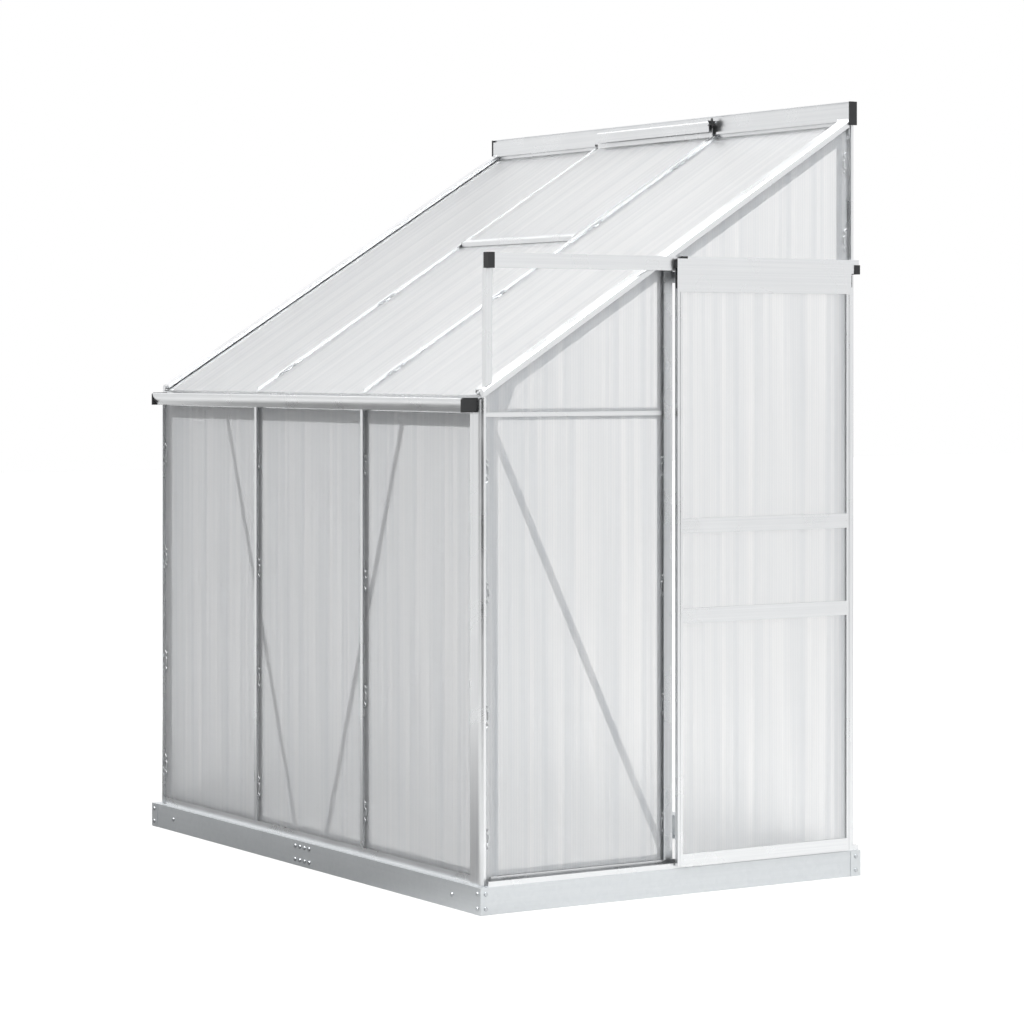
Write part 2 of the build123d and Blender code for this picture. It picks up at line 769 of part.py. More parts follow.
def gable_panes(side):
    """Panes of an end wall: front bay below and above the gable bar, then the bay against the house wall."""
    face = (inward(side, seat_depth), inward(side, seat_depth - pane))
    front_limits = (post_back + pane_gap, door_post_y - post_edge)
    back_start = door_post_y + post_edge
    with BuildPart() as panes:
        block(*face, *front_limits, sill_top, gable_bar_height - bar_edge)
        under_roof(*face, *front_limits, gable_bar_height + bar_edge, gable_top)
        if side == "left":
            block(*face, back_start, back_box - pane_gap, sill_top, gable_bar_height - bar_edge)
            under_roof(*face, back_start, gable_end, gable_bar_height + bar_edge, gable_top)
        else:
            under_roof(*face, back_start, gable_end, header_height + bar_edge, gable_top)
    return panes


for side in SIDES:
    finish(gable_panes(side), f"end_panels_{side}")

# Roof vent: the parts that stay on the frame
with BuildPart() as vent_sill:
    sill_x = (bar_positions[0] + bar_flange / 2, bar_positions[1] - bar_flange / 2)
    roof_slab(*sill_x, vent_lower_edge - vent_sill_depth, vent_lower_edge, -flange_sheet, 0)
    roof_slab(*sill_x, vent_lower_edge - flange_sheet, vent_lower_edge, 0, vent_sill_upstand)
finish(vent_sill, "vent_sill")

with BuildPart() as hinge_rail:
    rail_x = (vent_left + rail_end_gap, vent_right - rail_end_gap)
    with BuildSketch(Plane.YZ.offset(rail_x[0])):
        with Locations((hinge_y, hinge_height)):
            Circle(hinge_rod_radius)
    extrude(amount=rail_x[1] - rail_x[0])
    block(*rail_x, hinge_y, ridge_front, hinge_height - hinge_web / 2, hinge_height + hinge_web / 2)
finish(hinge_rail, "vent_hinge_rail")

with BuildPart() as stay_peg:
    peg_y = vent_lower_edge + peg_plate - peg_rise
    peg_top = -flange_sheet
    peg_x = base_middle + peg_offset
    peg_rows = either_side(vent_lower_edge, 2 * peg_plate)
    roof_slab(*either_side(peg_x, peg_plate), *peg_rows, peg_top - peg_sheet, peg_top)
    roof_up = (0, -math.sin(roof_angle), math.cos(roof_angle))
    with BuildSketch(Plane(origin=(peg_x, peg_y, roof_z(peg_y, peg_top)), x_dir=(1, 0, 0), z_dir=roof_up)):
        Circle(peg_radius)
    extrude(amount=peg_rise)
finish(stay_peg, "vent_stay_peg")

# Roof vent: the parts that lift
vent_shelf_top = vent_shelf + vent_sheet
vent_side_top_end = hinge_y - vent_top_shelf
vent_web_back = hinge_y - vent_web_inset
vent_nose_y = vent_lower_edge - vent_nose
vent_run = (vent_left, vent_right)
vent_side_foot = vent_lower_edge + vent_shelf_reach

with BuildPart() as vent_top_bar:
    lip_y = hinge_y - vent_lip_reach
    ring_middle = (hinge_rod_radius + hinge_ring_radius) / 2
    with BuildSketch(Plane.YZ.offset(vent_left)):
        with Locations((hinge_y, hinge_height)):
            Circle(hinge_ring_radius)
            Circle(hinge_rod_radius + hinge_clearance, mode=Mode.SUBTRACT)
        with BuildLine():
            mouth = [(hinge_y, hinge_height)]
            for step in range(5):
                turn = math.radians(hinge_mouth_low + (hinge_mouth_high - hinge_mouth_low) * step / 4)
                reach = hinge_ring_radius * 2
                mouth.append((hinge_y + reach * math.cos(turn), hinge_height + reach * math.sin(turn)))
            Polyline(*mouth, close=True)
        make_face(mode=Mode.SUBTRACT)
    extrude(amount=vent_right - vent_left)
    block(*vent_run, lip_y, hinge_y - ring_middle, hinge_height, hinge_height + vent_sheet)
    block(*vent_run, lip_y, lip_y + vent_sheet, hinge_height - vent_lip_drop, hinge_height)
    web_front = vent_web_back - vent_sheet
    web_top = hinge_height - ring_middle
    web_foot = [(y, roof_z(y, vent_shelf)) for y in (web_front, vent_web_back)]
    side_plate(*vent_run, *web_foot, (vent_web_back, web_top), (web_front, web_top))
    roof_slab(*vent_run, vent_side_top_end, vent_web_back, vent_shelf, vent_shelf_top)
finish(vent_top_bar, "vent_top_bar")

with BuildPart() as vent_side_bars:
    for outer, turn in ((vent_left, 1), (vent_right, -1)):
        rows = (vent_side_foot, vent_side_top_end)
        roof_slab(outer, outer + turn * vent_sheet, *rows, vent_rest_gap, vent_side_height)
        roof_slab(outer, outer + turn * vent_side_shelf, *rows, vent_shelf, vent_shelf_top)
finish(vent_side_bars, "vent_side_bars")

with BuildPart() as vent_bottom_bar:
    lip_end = vent_lower_edge - pane_roof_gap
    roof_slab(*vent_run, vent_nose_y, vent_side_foot, vent_shelf, vent_shelf_top)
    roof_slab(*vent_run, vent_nose_y, vent_nose_y + vent_sheet, vent_nose_low, vent_nose_high)
    roof_slab(*vent_run, vent_nose_y, lip_end, vent_nose_high - vent_sheet, vent_nose_high)
    lug_inner = stay_thickness / 2 + lug_gap
    for turn in (-1, 1):
        lug_x = (base_middle + turn * lug_inner, base_middle + turn * (lug_inner + lug_sheet))
        under_roof(*lug_x, stay_y - lug_half, stay_y + lug_half, stay_z - lug_half, vent_shelf)
    with BuildSketch(Plane.YZ.offset(base_middle - lug_inner - lug_sheet)):
        with Locations((stay_y, stay_z)):
            Circle(stay_pin_radius)
    extrude(amount=2 * (lug_inner + lug_sheet))
finish(vent_bottom_bar, "vent_bottom_bar")

with BuildPart() as vent_panel:
    side_room = vent_sheet + pane_gap / 2
    panel_rows = (vent_nose_y + vent_sheet + vent_rest_gap, vent_web_back - vent_sheet - vent_rest_gap)
    roof_slab(vent_left + side_room, vent_right - side_room, *panel_rows, vent_shelf_top, vent_shelf_top + pane)
finish(vent_panel, "vent_panel")

with BuildPart() as vent_plugs:
    star_y = hinge_y - plug_star_inner
    star_z = hinge_height - vent_sheet
    star = []
    for step in range(12):
        reach = plug_star_outer if step % 2 else plug_star_inner
        turn = math.radians(step * 30)
        star.append((star_y + reach * math.cos(turn), star_z + reach * math.sin(turn)))
    side_plate(vent_right, vent_right + plug_star_thickness, *star)
    plug_x = vent_left - vent_side_gap + pane_gap / 2
    roof_slab(plug_x, vent_left, vent_nose_y, vent_lower_edge, vent_nose_low, vent_nose_high)
finish(vent_plugs, "vent_plugs")

# Stay on the vent's lower edge, folded up under the vent; swung down, its holes drop over the peg
with BuildPart() as vent_stay:
    pivot = (base_middle - stay_thickness / 2, stay_y, stay_z)
    roof_run = (0, math.cos(roof_angle), math.sin(roof_angle))
    with BuildSketch(Plane(origin=pivot, x_dir=roof_run, z_dir=(1, 0, 0))):
        with Locations((stay_length / 2, 0)):
            SlotCenterToCenter(stay_length, stay_width)
        Circle(stay_pin_radius + hinge_clearance, mode=Mode.SUBTRACT)
        with Locations(*[(stay_length - i * stay_hole_pitch, 0) for i in range(stay_hole_count)]):
            Circle(stay_hole_radius, mode=Mode.SUBTRACT)
    extrude(amount=stay_thickness)
finish(vent_stay, "vent_stay")

# Door track: a channel with a slot underneath, carried by the end wall and by a post on the rafter
track_rows = (track_front_end, track_back_end)
with BuildPart() as track:
    block(right_wall, track_outer, *track_rows, track_bottom, track_top)
    inside_x = (right_wall + track_sheet, track_outer - track_sheet)
    lip_z = track_bottom + track_sheet
    block(*inside_x, *track_rows, lip_z, track_top - track_sheet, mode=Mode.SUBTRACT)
    block(*either_side(roller_x, track_slot), *track_rows, track_bottom, lip_z, mode=Mode.SUBTRACT)
    bead_rows = (track_front_end + track_cap_skirt, track_back_end - track_cap_skirt)
    for rise in track_bead_rises:
        bead_z = track_bottom + rise
        block(track_outer, track_outer + track_bead, *bead_rows, bead_z, bead_z + track_bead_height)
finish(track, "door_track")

with BuildPart() as track_caps:
    sleeve = track_cap_sheet
    cap_low = track_bottom - sleeve
    cap_tops = (track_top + sleeve, track_top - track_back_cap_drop)
    for end, turn, cap_high in zip(track_rows, (-1, 1), cap_tops):
        outer_end = end + turn * 2 * sleeve
        skirt = end - turn * track_cap_skirt
        block(right_wall, track_outer + sleeve, end, outer_end, cap_low, cap_high)
        block(track_outer, track_outer + sleeve, skirt, end, cap_low, cap_high)
        block(right_wall, track_outer, skirt, end, cap_low, track_bottom)
    block(right_wall, track_outer, track_front_end, track_front_end + track_cap_skirt, track_top, cap_tops[0])
finish(track_caps, "door_track_caps")

with BuildPart() as track_post:
    post_y = (track_front_end + track_post_inset, track_front_end + track_post_inset + track_post_size)
    under_track = track_top - track_sheet
    outline = [(y, roof_z(y, rafter_top)) for y in post_y]
    outline += [(post_y[1], under_track), (post_y[0], under_track)]
    side_plate(right_wall, right_wall - track_post_size, *outline)
    bore_x = (right_wall - track_post_wall, right_wall - track_post_size + track_post_wall)
    bore_y = (post_y[0] + track_post_wall, post_y[1] - track_post_wall)
    block(*bore_x, *bore_y, eave_height, under_track, mode=Mode.SUBTRACT)
finish(track_post, "door_track_post")

with BuildPart() as guide:
    guide_x = (door_inner - guide_outer_gap - guide_width, door_inner - guide_outer_gap)
    block(*guide_x, *track_rows, base_height, sill_top)
    for x in (guide_x[0], guide_x[1] - guide_wall):
        block(x, x + guide_wall, *track_rows, base_height, base_height + guide_height)
finish(guide, "door_bottom_guide")

# Door frame, grooved for its panes
door_middle = door_inner + door_thickness / 2
door_outer = door_inner + door_thickness
groove = (door_middle - pane / 2 - groove_play, door_middle + pane / 2 + groove_play)
inner_front = door_front + stile_width
inner_back = door_back - stile_width
top_rail_bottom = door_top - top_rail_height
bottom_rail_top = door_bottom + bottom_rail_height
line_x = (door_outer - line_depth, door_outer)


def stile(y0, y1, groove_y0, groove_y1):
    """Upright side of the door, with the pane groove in its inner edge and a fine line down its face."""
    with BuildPart() as bar:
        block(door_inner, door_outer, y0, y1, door_bottom, top_rail_bottom)
        block(*groove, groove_y0, groove_y1, door_bottom + groove_depth, top_rail_bottom, mode=Mode.SUBTRACT)
        line_y = either_side((y0 + y1) / 2, line_width)
        block(*line_x, *line_y, door_bottom, top_rail_bottom, mode=Mode.SUBTRACT)
    return bar


finish(stile(door_front, inner_front, inner_front - groove_depth, inner_front), "door_stile_front")
finish(stile(inner_back, door_back, inner_back, inner_back + groove_depth), "door_stile_back")

with BuildPart() as top_rail:
    block(door_inner, door_outer, door_front, door_back, top_rail_bottom, door_top)
    groove_y = (inner_front - groove_depth, inner_back + groove_depth)
    groove_top = top_rail_bottom + groove_depth
    block(*groove, *groove_y, top_rail_bottom, groove_top, mode=Mode.SUBTRACT)
    hollow_x = (door_inner + rail_wall, door_outer - rail_wall)
    block(*hollow_x, door_front, door_back, groove_top + rail_wall, door_top - rail_wall, mode=Mode.SUBTRACT)
    for drop in top_rail_lines:
        block(*line_x, door_front, door_back, *either_side(door_top - drop, line_width), mode=Mode.SUBTRACT)
finish(top_rail, "door_top_rail")

with BuildPart() as bottom_rail:
    block(door_inner, door_outer, inner_front, inner_back, door_bottom, bottom_rail_top)
    run = (inner_front, inner_back)
    block(*groove, *run, bottom_rail_top - groove_depth, bottom_rail_top, mode=Mode.SUBTRACT)
    arm_z = door_bottom + fin_arm
    fin_x = door_inner - fin_reach
    block(fin_x, door_inner, *run, arm_z, arm_z + fin_sheet)
    block(fin_x, fin_x + fin_sheet, *run, arm_z - fin_depth, arm_z + fin_sheet)
finish(bottom_rail, "door_bottom_rail")

with BuildPart() as mid_rails:
    for z in mid_rail_bottoms:
        block(door_inner, door_outer, inner_front, inner_back, z, z + mid_rail_height)
        for low in (z, z + mid_rail_height - groove_depth):
            block(*groove, inner_front, inner_back, low, low + groove_depth, mode=Mode.SUBTRACT)
        line_z = either_side(z + mid_rail_height / 2, line_width)
        block(*line_x, inner_front, inner_back, *line_z, mode=Mode.SUBTRACT)
finish(mid_rails, "door_mid_rails")

with BuildPart() as door_panels:
    floors = [bottom_rail_top] + [z + mid_rail_height for z in mid_rail_bottoms]
    ceilings = list(mid_rail_bottoms) + [top_rail_bottom]
    hold = groove_depth - pane_roof_gap
    held_y = (inner_front - hold, inner_back + hold)
    for low, high in zip(floors, ceilings):
        block(*either_side(door_middle, pane), *held_y, low - groove_depth, high + hold)
finish(door_panels, "door_panels")

with BuildPart() as rail_plugs:
    for y, turn, drop, tall in zip((door_front, door_back), (-1, 1), plug_drops, plug_heights):
        plug_top = door_top - drop
        block(*either_side(door_middle, plug_width), y, y + turn * plug_length, plug_top - tall, plug_top)
    tab_y = (inner_front, inner_front + stile_width)
    block(*either_side(door_middle, plug_width), *tab_y, door_top, door_top + plug_tab)
finish(rail_plugs, "door_rail_plugs")

# Hangers and rollers that carry the door in the track
with BuildPart() as hangers:
    hanger_low = track_bottom - hanger_drop
    for y in roller_rows:
        rows = either_side(y, hanger_width)
        plate_x = either_side(roller_x, hanger_sheet)
        arm_top = hanger_low + hanger_sheet
        block(*plate_x, *rows, hanger_low, roller_z + hanger_head)
        block(plate_x[1], door_inner, *rows, hanger_low, arm_top)
        block(door_inner - hanger_sheet / 2, door_inner, *rows, arm_top - hanger_foot, arm_top)
    axles = [(roller_x + hanger_sheet / 2, y, roller_z) for y in roller_rows]
    punch(face_planes(axles, (1, 0, 0)), axle_radius + axle_clearance, hanger_sheet)
finish(hangers, "door_hangers")


def roller(y):
    """Two wheels on one axle, one on each side of the hanger."""
    axle_half = track_slot / 2 + roller_inset
    with BuildPart() as wheels:
        with BuildSketch(Plane.YZ.offset(roller_x - axle_half)):
            with Locations((y, roller_z)):
                Circle(axle_radius)
        extrude(amount=2 * axle_half)
        for start in (roller_x - axle_half - roller_width, roller_x + axle_half):
            with BuildSketch(Plane.YZ.offset(start)):
                with Locations((y, roller_z)):
                    Circle(roller_radius)
            extrude(amount=roller_width)
    return wheels


for name, y in zip(("front", "back"), roller_rows):
    finish(roller(y), f"door_roller_{name}")

# Sprung wire clips that press the panes against the flanges
clip_planes = []
up = (0, 0, 1)
down = (0, 0, -1)
clip_first = sill_top + clip_rise
clip_pitch = (gutter_floor - clip_drop - clip_first) / (clip_rows - 1)
front_rows = [clip_first + i * clip_pitch for i in range(clip_rows)]
roof_rows = [front_wall + step * (ridge_front - front_wall) for step in clip_roof_steps]
roof_back_run = (0, -math.cos(roof_angle), -math.sin(roof_angle))
for index, (x0, x1) in enumerate(pane_bays):
    for z in front_rows:
        clip_planes.append(Plane(origin=(x0, front_seat - pane, z), x_dir=down, z_dir=(0, -1, 0)))
        clip_planes.append(Plane(origin=(x1, front_seat - pane, z), x_dir=up, z_dir=(0, -1, 0)))
    for y in roof_rows[:2] if index == 1 else roof_rows:
        clip_planes.append(Plane(origin=(x0, y, roof_z(y, pane)), x_dir=roof_back_run, z_dir=roof_up))
        clip_planes.append(Plane(origin=(x1, y, roof_z(y, pane)), x_dir=roof_run, z_dir=roof_up))

gable_front = (post_back + pane_gap, door_post_y - post_edge)
gable_back = (door_post_y + post_edge, back_box - pane_gap)
gable_turns = (("left", (-1, 0, 0), up, down), ("right", (1, 0, 0), down, up))
for side, outward, towards_back, towards_front in gable_turns:
    face_x = inward(side, seat_depth - pane)
    limits = [(gable_front, front_rows)]
    if side == "left":
        limits.append((gable_back, front_rows))
    for (y0, y1), rows in limits:
        for z in rows:
            clip_planes.append(Plane(origin=(face_x, y0, z), x_dir=towards_back, z_dir=outward))
            clip_planes.append(Plane(origin=(face_x, y1, z), x_dir=towards_front, z_dir=outward))
    for rise in clip_over_header:
        origin = (face_x, gable_end, header_height + rise)
        clip_planes.append(Plane(origin=origin, x_dir=towards_front, z_dir=outward))

with BuildPart() as clips:
    near = clip_wire / 2
    with BuildSketch(*clip_planes):
        with BuildLine() as wire:
            Polyline(*[(clip_length * (i / 4 - 1 / 2), clip_width if i % 2 else near) for i in range(5)])
        trace(line_width=clip_wire)
    extrude(amount=clip_wire)
finish(clips, "glazing_clips")
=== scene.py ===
"""Looks of the lean-to greenhouse: panes, aluminium bars, galvanised base, studio light and camera."""

import math

import bpy
import numpy as np
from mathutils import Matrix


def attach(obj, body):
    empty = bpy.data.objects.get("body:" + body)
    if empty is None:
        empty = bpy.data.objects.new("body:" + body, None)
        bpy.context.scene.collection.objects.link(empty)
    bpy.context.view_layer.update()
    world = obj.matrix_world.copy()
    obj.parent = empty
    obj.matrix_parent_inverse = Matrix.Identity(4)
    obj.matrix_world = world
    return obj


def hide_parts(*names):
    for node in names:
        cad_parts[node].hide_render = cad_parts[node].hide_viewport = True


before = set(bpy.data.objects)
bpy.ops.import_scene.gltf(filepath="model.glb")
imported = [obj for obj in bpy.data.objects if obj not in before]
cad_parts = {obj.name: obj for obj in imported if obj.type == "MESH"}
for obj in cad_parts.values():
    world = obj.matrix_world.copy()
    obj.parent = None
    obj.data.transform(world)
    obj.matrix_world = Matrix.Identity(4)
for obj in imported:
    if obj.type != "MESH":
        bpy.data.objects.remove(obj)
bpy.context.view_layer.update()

MM = 0.001

# Planes of the solids, in millimetres
LEFT_WALL, RIGHT_WALL, FRONT_WALL = -931.5, 924.0, -588.0
SEAT, PANE = 12.0, 4.0
SILL_TOP, GUTTER_FLOOR, EAVE = 71.5, 1290.0, 1340.0
GABLE_BAR, HEADER = 1283.0, 1645.474
DOOR_POST = -2.5
RIDGE_FRONT = 612.0
SLOPE = 747.0 / 1200.0
ROOF_COS = 1 / math.hypot(1, SLOPE)
ROOF_SIN = SLOPE * ROOF_COS
BAYS = ((-914.0, -315.5), (-310.5, 303.0), (308.0, 906.5))


def roof_z(y, rise):
    """Height of the plane that lies rise over the pane seat, square to the slope, at depth y."""
    return EAVE + (y - FRONT_WALL) * SLOPE - (SEAT - rise) / ROOF_COS


# Meshes


def grid_faces(rows, columns, around=False, start=0):
    """Quads of a grid whose points run row by row; around joins the last column to the first."""
    across = columns if around else columns - 1
    j, i = np.meshgrid(np.arange(rows - 1), np.arange(across), indexing="ij")
    k = (i + 1) % columns
    quads = np.stack([j * columns + i, j * columns + k, (j + 1) * columns + k, (j + 1) * columns + i], -1)
    return quads.reshape(-1, 4) + start


def make_piece(name, points, faces, material, body, replaced=(), uv=None, crease=40):
    """Mesh of points (mm) and quads at the origin, which rides on a body and stands for CAD nodes."""
    mesh = bpy.data.meshes.new(name)
    points = np.asarray(points, float).reshape(-1, 3) * MM
    faces = np.asarray(faces, np.int32)
    mesh.vertices.add(len(points))
    mesh.vertices.foreach_set("co", points.astype(np.float32).ravel())
    mesh.loops.add(faces.size)
    mesh.loops.foreach_set("vertex_index", faces.ravel())
    mesh.polygons.add(len(faces))
    mesh.polygons.foreach_set("loop_start", np.arange(0, faces.size, faces.shape[1], dtype=np.int32))
    mesh.update(calc_edges=True)
    mesh.validate()
    mesh.polygons.foreach_set("use_smooth", np.ones(len(mesh.polygons), bool))
    mesh.set_sharp_from_angle(angle=math.radians(crease))
    if uv is not None:
        layer = mesh.uv_layers.new(name="flutes")
        layer.data.foreach_set("uv", np.asarray(uv, np.float32)[faces.ravel()].ravel())
    mesh.materials.append(material)
    piece = bpy.data.objects.new(name, mesh)
    bpy.context.scene.collection.objects.link(piece)
    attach(piece, body)
    if replaced:
        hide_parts(*replaced)
    return piece


FLUTE_PITCH = 8.0
FLUTE_SAMPLES = 6
FLUTE_DIP = 0.15
SHEET_BOW = 0.9
SHEET_ROWS = 9


def twin_wall(corners):
    """One twin-wall sheet from the corners of its outer face: foot left, foot right, head right, head left,
    seen from outside. The face is the bilinear patch of the corners. It sinks at each rib by the cube of a
    raised cosine and bows out by a product of sines that is nothing along the edges. The inner face lies one
    pane deeper and sinks towards the outer one at the same ribs."""
    a, b, c, d = (np.array(p, float) for p in corners)
    width = np.linalg.norm(b - a)
    outward = np.cross(b - a, d - a)
    outward /= np.linalg.norm(outward)
    columns = int(width / FLUTE_PITCH * FLUTE_SAMPLES) + 1
    u, v = np.meshgrid(np.linspace(0, 1, columns), np.linspace(0, 1, SHEET_ROWS))
    flat = (1 - v)[..., None] * ((1 - u)[..., None] * a + u[..., None] * b)
    flat += v[..., None] * ((1 - u)[..., None] * d + u[..., None] * c)
    dip = FLUTE_DIP * (0.5 + 0.5 * np.cos(2 * np.pi * u * width / FLUTE_PITCH)) ** 3
    bow = SHEET_BOW * np.sin(np.pi * u) * np.sin(np.pi * v)
    outer = flat + (bow - dip)[..., None] * outward
    inner = flat + (bow + dip - PANE)[..., None] * outward
    rows = u.shape[0]
    ring = np.concatenate([outer, inner[:, ::-1]], 1)
    count = 2 * columns
    faces = grid_faces(rows, count, around=True)
    across = np.arange(columns - 1)
    foot = np.stack([across, count - 1 - across, count - 2 - across, across + 1], -1)
    head = (foot + (rows - 1) * count)[:, ::-1]
    height = np.linalg.norm(d - a)
    along = np.stack([u * width, v * height], -1)
    uv = np.concatenate([along, along[:, ::-1]], 1).reshape(-1, 2) * MM
    return ring.reshape(-1, 3), np.concatenate([faces, foot, head]), uv


def sheets(name, patches, body, replaced):
    """Several sheets in one piece, each with its own flutes."""
    points, faces, uvs, start = [], [], [], 0
    for corners in patches:
        p, f, t = twin_wall(corners)
        points.append(p)
        faces.append(f + start)
        uvs.append(t)
        start += len(p)
    return make_piece(
        name, np.concatenate(points), np.concatenate(faces), POLYCARBONATE, body,
        (replaced,), np.concatenate(uvs),
    )


WIRE_RADIUS = 1.2
WIRE_SIDES = 6
WIRE_STEPS = 49
CLIP_HALF = [(9.0, 11.5), (15.0, 2.5), (24.0, 11.5), (32.0, 1.0)]


def bent_wires(name, places, material, body, replaced):
    """Round wires bent in two Vs with a straight middle: the path runs through the bends of one half and
    their mirror images, is rounded by a sliding mean over its points, and is carried as a six-sided tube."""
    t = np.linspace(0, 1, WIRE_STEPS)
    bends = np.array([(-x, y) for x, y in reversed(CLIP_HALF)] + CLIP_HALF)
    reached = np.concatenate([[0], np.cumsum(np.linalg.norm(np.diff(bends, axis=0), axis=1))])
    path = np.stack([np.interp(t * reached[-1], reached, bends[:, i]) for i in (0, 1)], -1)
    path[1:-1] = (path[:-2] + 2 * path[1:-1] + path[2:]) / 4
    path = path[::2]
    t = t[::2]
    run = np.gradient(path, axis=0)
    run /= np.linalg.norm(run, axis=1, keepdims=True)
    side = np.stack([-run[:, 1], run[:, 0]], -1)
    turn = np.linspace(0, 2 * np.pi, WIRE_SIDES, endpoint=False)
    ring_xy = path[:, None] + WIRE_RADIUS * np.cos(turn)[None, :, None] * side[:, None]
    ring_z = np.broadcast_to(WIRE_RADIUS + WIRE_RADIUS * np.sin(turn), ring_xy.shape[:2])
    local = np.concatenate([ring_xy, ring_z[..., None]], -1).reshape(-1, 3)
    origin, x_dir, z_dir = (np.array([place[i] for place in places], float) for i in range(3))
    axes = np.stack([x_dir, np.cross(z_dir, x_dir), z_dir], 1)
    points = np.einsum("pk,nkc->npc", local, axes) + origin[:, None]
    one = grid_faces(len(t), WIRE_SIDES, around=True)
    last = (len(t) - 1) * WIRE_SIDES
    near_end = [[0, 3, 2, 1], [0, 5, 4, 3]]
    far_end = [[last, last + 1, last + 2, last + 3], [last, last + 3, last + 4, last + 5]]
    one = np.concatenate([one[:, ::-1], np.array(near_end + far_end)[:, ::-1]])
    faces = (one[None] + (np.arange(len(places)) * len(local))[:, None, None]).reshape(-1, 4)
    return make_piece(name, points, faces, material, body, (replaced,), crease=60)


def folded_strip(path, sheet, x0, x1):
    """Folded sheet: the path (y, z) is the outer face and the inner face lies one sheet thickness to its
    left. The closed ring of both is carried along x between two ends that are closed between the faces."""
    path = np.array(path, float)
    run = np.gradient(path, axis=0)
    run /= np.linalg.norm(run, axis=1, keepdims=True)
    inner = path + sheet * np.stack([-run[:, 1], run[:, 0]], -1)
    ring = np.concatenate([path, inner[::-1]])
    count = len(ring)
    points = np.stack([np.concatenate([np.full((count, 1), x), ring], 1) for x in (x0, x1)])
    along = np.arange(len(path) - 1)
    first = np.stack([along, count - 1 - along, count - 2 - along, along + 1], -1)
    faces = np.concatenate([grid_faces(2, count, around=True), first, (first + count)[:, ::-1]])
    return points.reshape(-1, 3), faces


def round_bend(middle, radius, start, end, steps=6):
    """Points (y, z) on an arc about a middle, from one angle to another in degrees."""
    turn = np.radians(np.linspace(start, end, steps))
    return np.stack([middle[0] + radius * np.cos(turn), middle[1] + radius * np.sin(turn)], -1)


# Materials


def linear(code):
    """Linear colour of an sRGB hex value."""
    channels = np.array([int(code[i:i + 2], 16) for i in (1, 3, 5)]) / 255
    low = channels / 12.92
    high = ((channels + 0.055) / 1.055) ** 2.4
    return (*np.where(channels <= 0.04045, low, high).tolist(), 1.0)


def add(tree, kind, settings=None, values=None, links=None):
    """Add a shader node with its settings, the values of its sockets, and the links into it."""
    made = tree.nodes.new(kind)
    for name, value in (settings or {}).items():
        setattr(made, name, value)
    for socket, value in (values or {}).items():
        made.inputs[socket].default_value = value
    for socket, source in (links or {}).items():
        tree.links.new(source, made.inputs[socket])
    return made


def new_finish(name, values):
    """Material with one Principled shader, whose constant sockets are set here."""
    material = bpy.data.materials.new(name)
    material.use_nodes = True
    tree = material.node_tree
    tree.nodes.clear()
    shader = add(tree, "ShaderNodeBsdfPrincipled", values=values)
    add(tree, "ShaderNodeOutputMaterial", links={"Surface": shader.outputs["BSDF"]})
    return material, tree, shader


def mill_aluminium(name, feature, turn=(0.0, 0.0, 0.0)):
    """Extruded aluminium, mill finish: pale grey, satin, with faint die lines along the bar.

    The real lines are about a millimetre apart and are drawn five times coarser, so that they show.
    feature is the size of one streak along x, y and z in metres, and turn tilts it to the bar.
    """
    material, tree, shader = new_finish(name, {"Metallic": 1.0})
    place = add(tree, "ShaderNodeTexCoord")
    lay = add(
        tree, "ShaderNodeMapping", {"vector_type": "TEXTURE"}, {"Scale": feature, "Rotation": turn},
        {"Vector": place.outputs["Object"]},
    )
    lines = add(
        tree, "ShaderNodeTexNoise", values={"Scale": 1.0, "Detail": 3.0}, links={"Vector": lay.outputs[0]}
    )
    blotch = add(
        tree, "ShaderNodeTexNoise", values={"Scale": 1 / 0.12, "Detail": 2.0},
        links={"Vector": place.outputs["Object"]},
    )
    tone = add(
        tree, "ShaderNodeMix", {"data_type": "RGBA"}, {"A": linear("#DCDEE0"), "B": linear("#EEEFF0")},
        {"Factor": lines.outputs["Fac"]},
    )
    satin = add(
        tree, "ShaderNodeMapRange",
        values={"From Min": 0.3, "From Max": 0.7, "To Min": 0.24, "To Max": 0.36},
        links={"Value": blotch.outputs["Fac"]},
    )
    relief = add(
        tree, "ShaderNodeBump", values={"Strength": 0.02, "Distance": 0.0004},
        links={"Height": lines.outputs["Fac"]},
    )
    tree.links.new(tone.outputs["Result"], shader.inputs["Base Color"])
    tree.links.new(satin.outputs[0], shader.inputs["Roughness"])
    tree.links.new(relief.outputs[0], shader.inputs["Normal"])
    return material


ROOF_TURN = (math.atan(SLOPE), 0.0, 0.0)
ALONG_X = mill_aluminium("mill_aluminium_lengthwise", (0.6, 0.005, 0.005))
ALONG_Y = mill_aluminium("mill_aluminium_crosswise", (0.005, 0.6, 0.005))
UPRIGHT = mill_aluminium("mill_aluminium_upright", (0.005, 0.005, 0.6))
SLOPING = mill_aluminium("mill_aluminium_sloping", (0.005, 0.6, 0.005), ROOF_TURN)


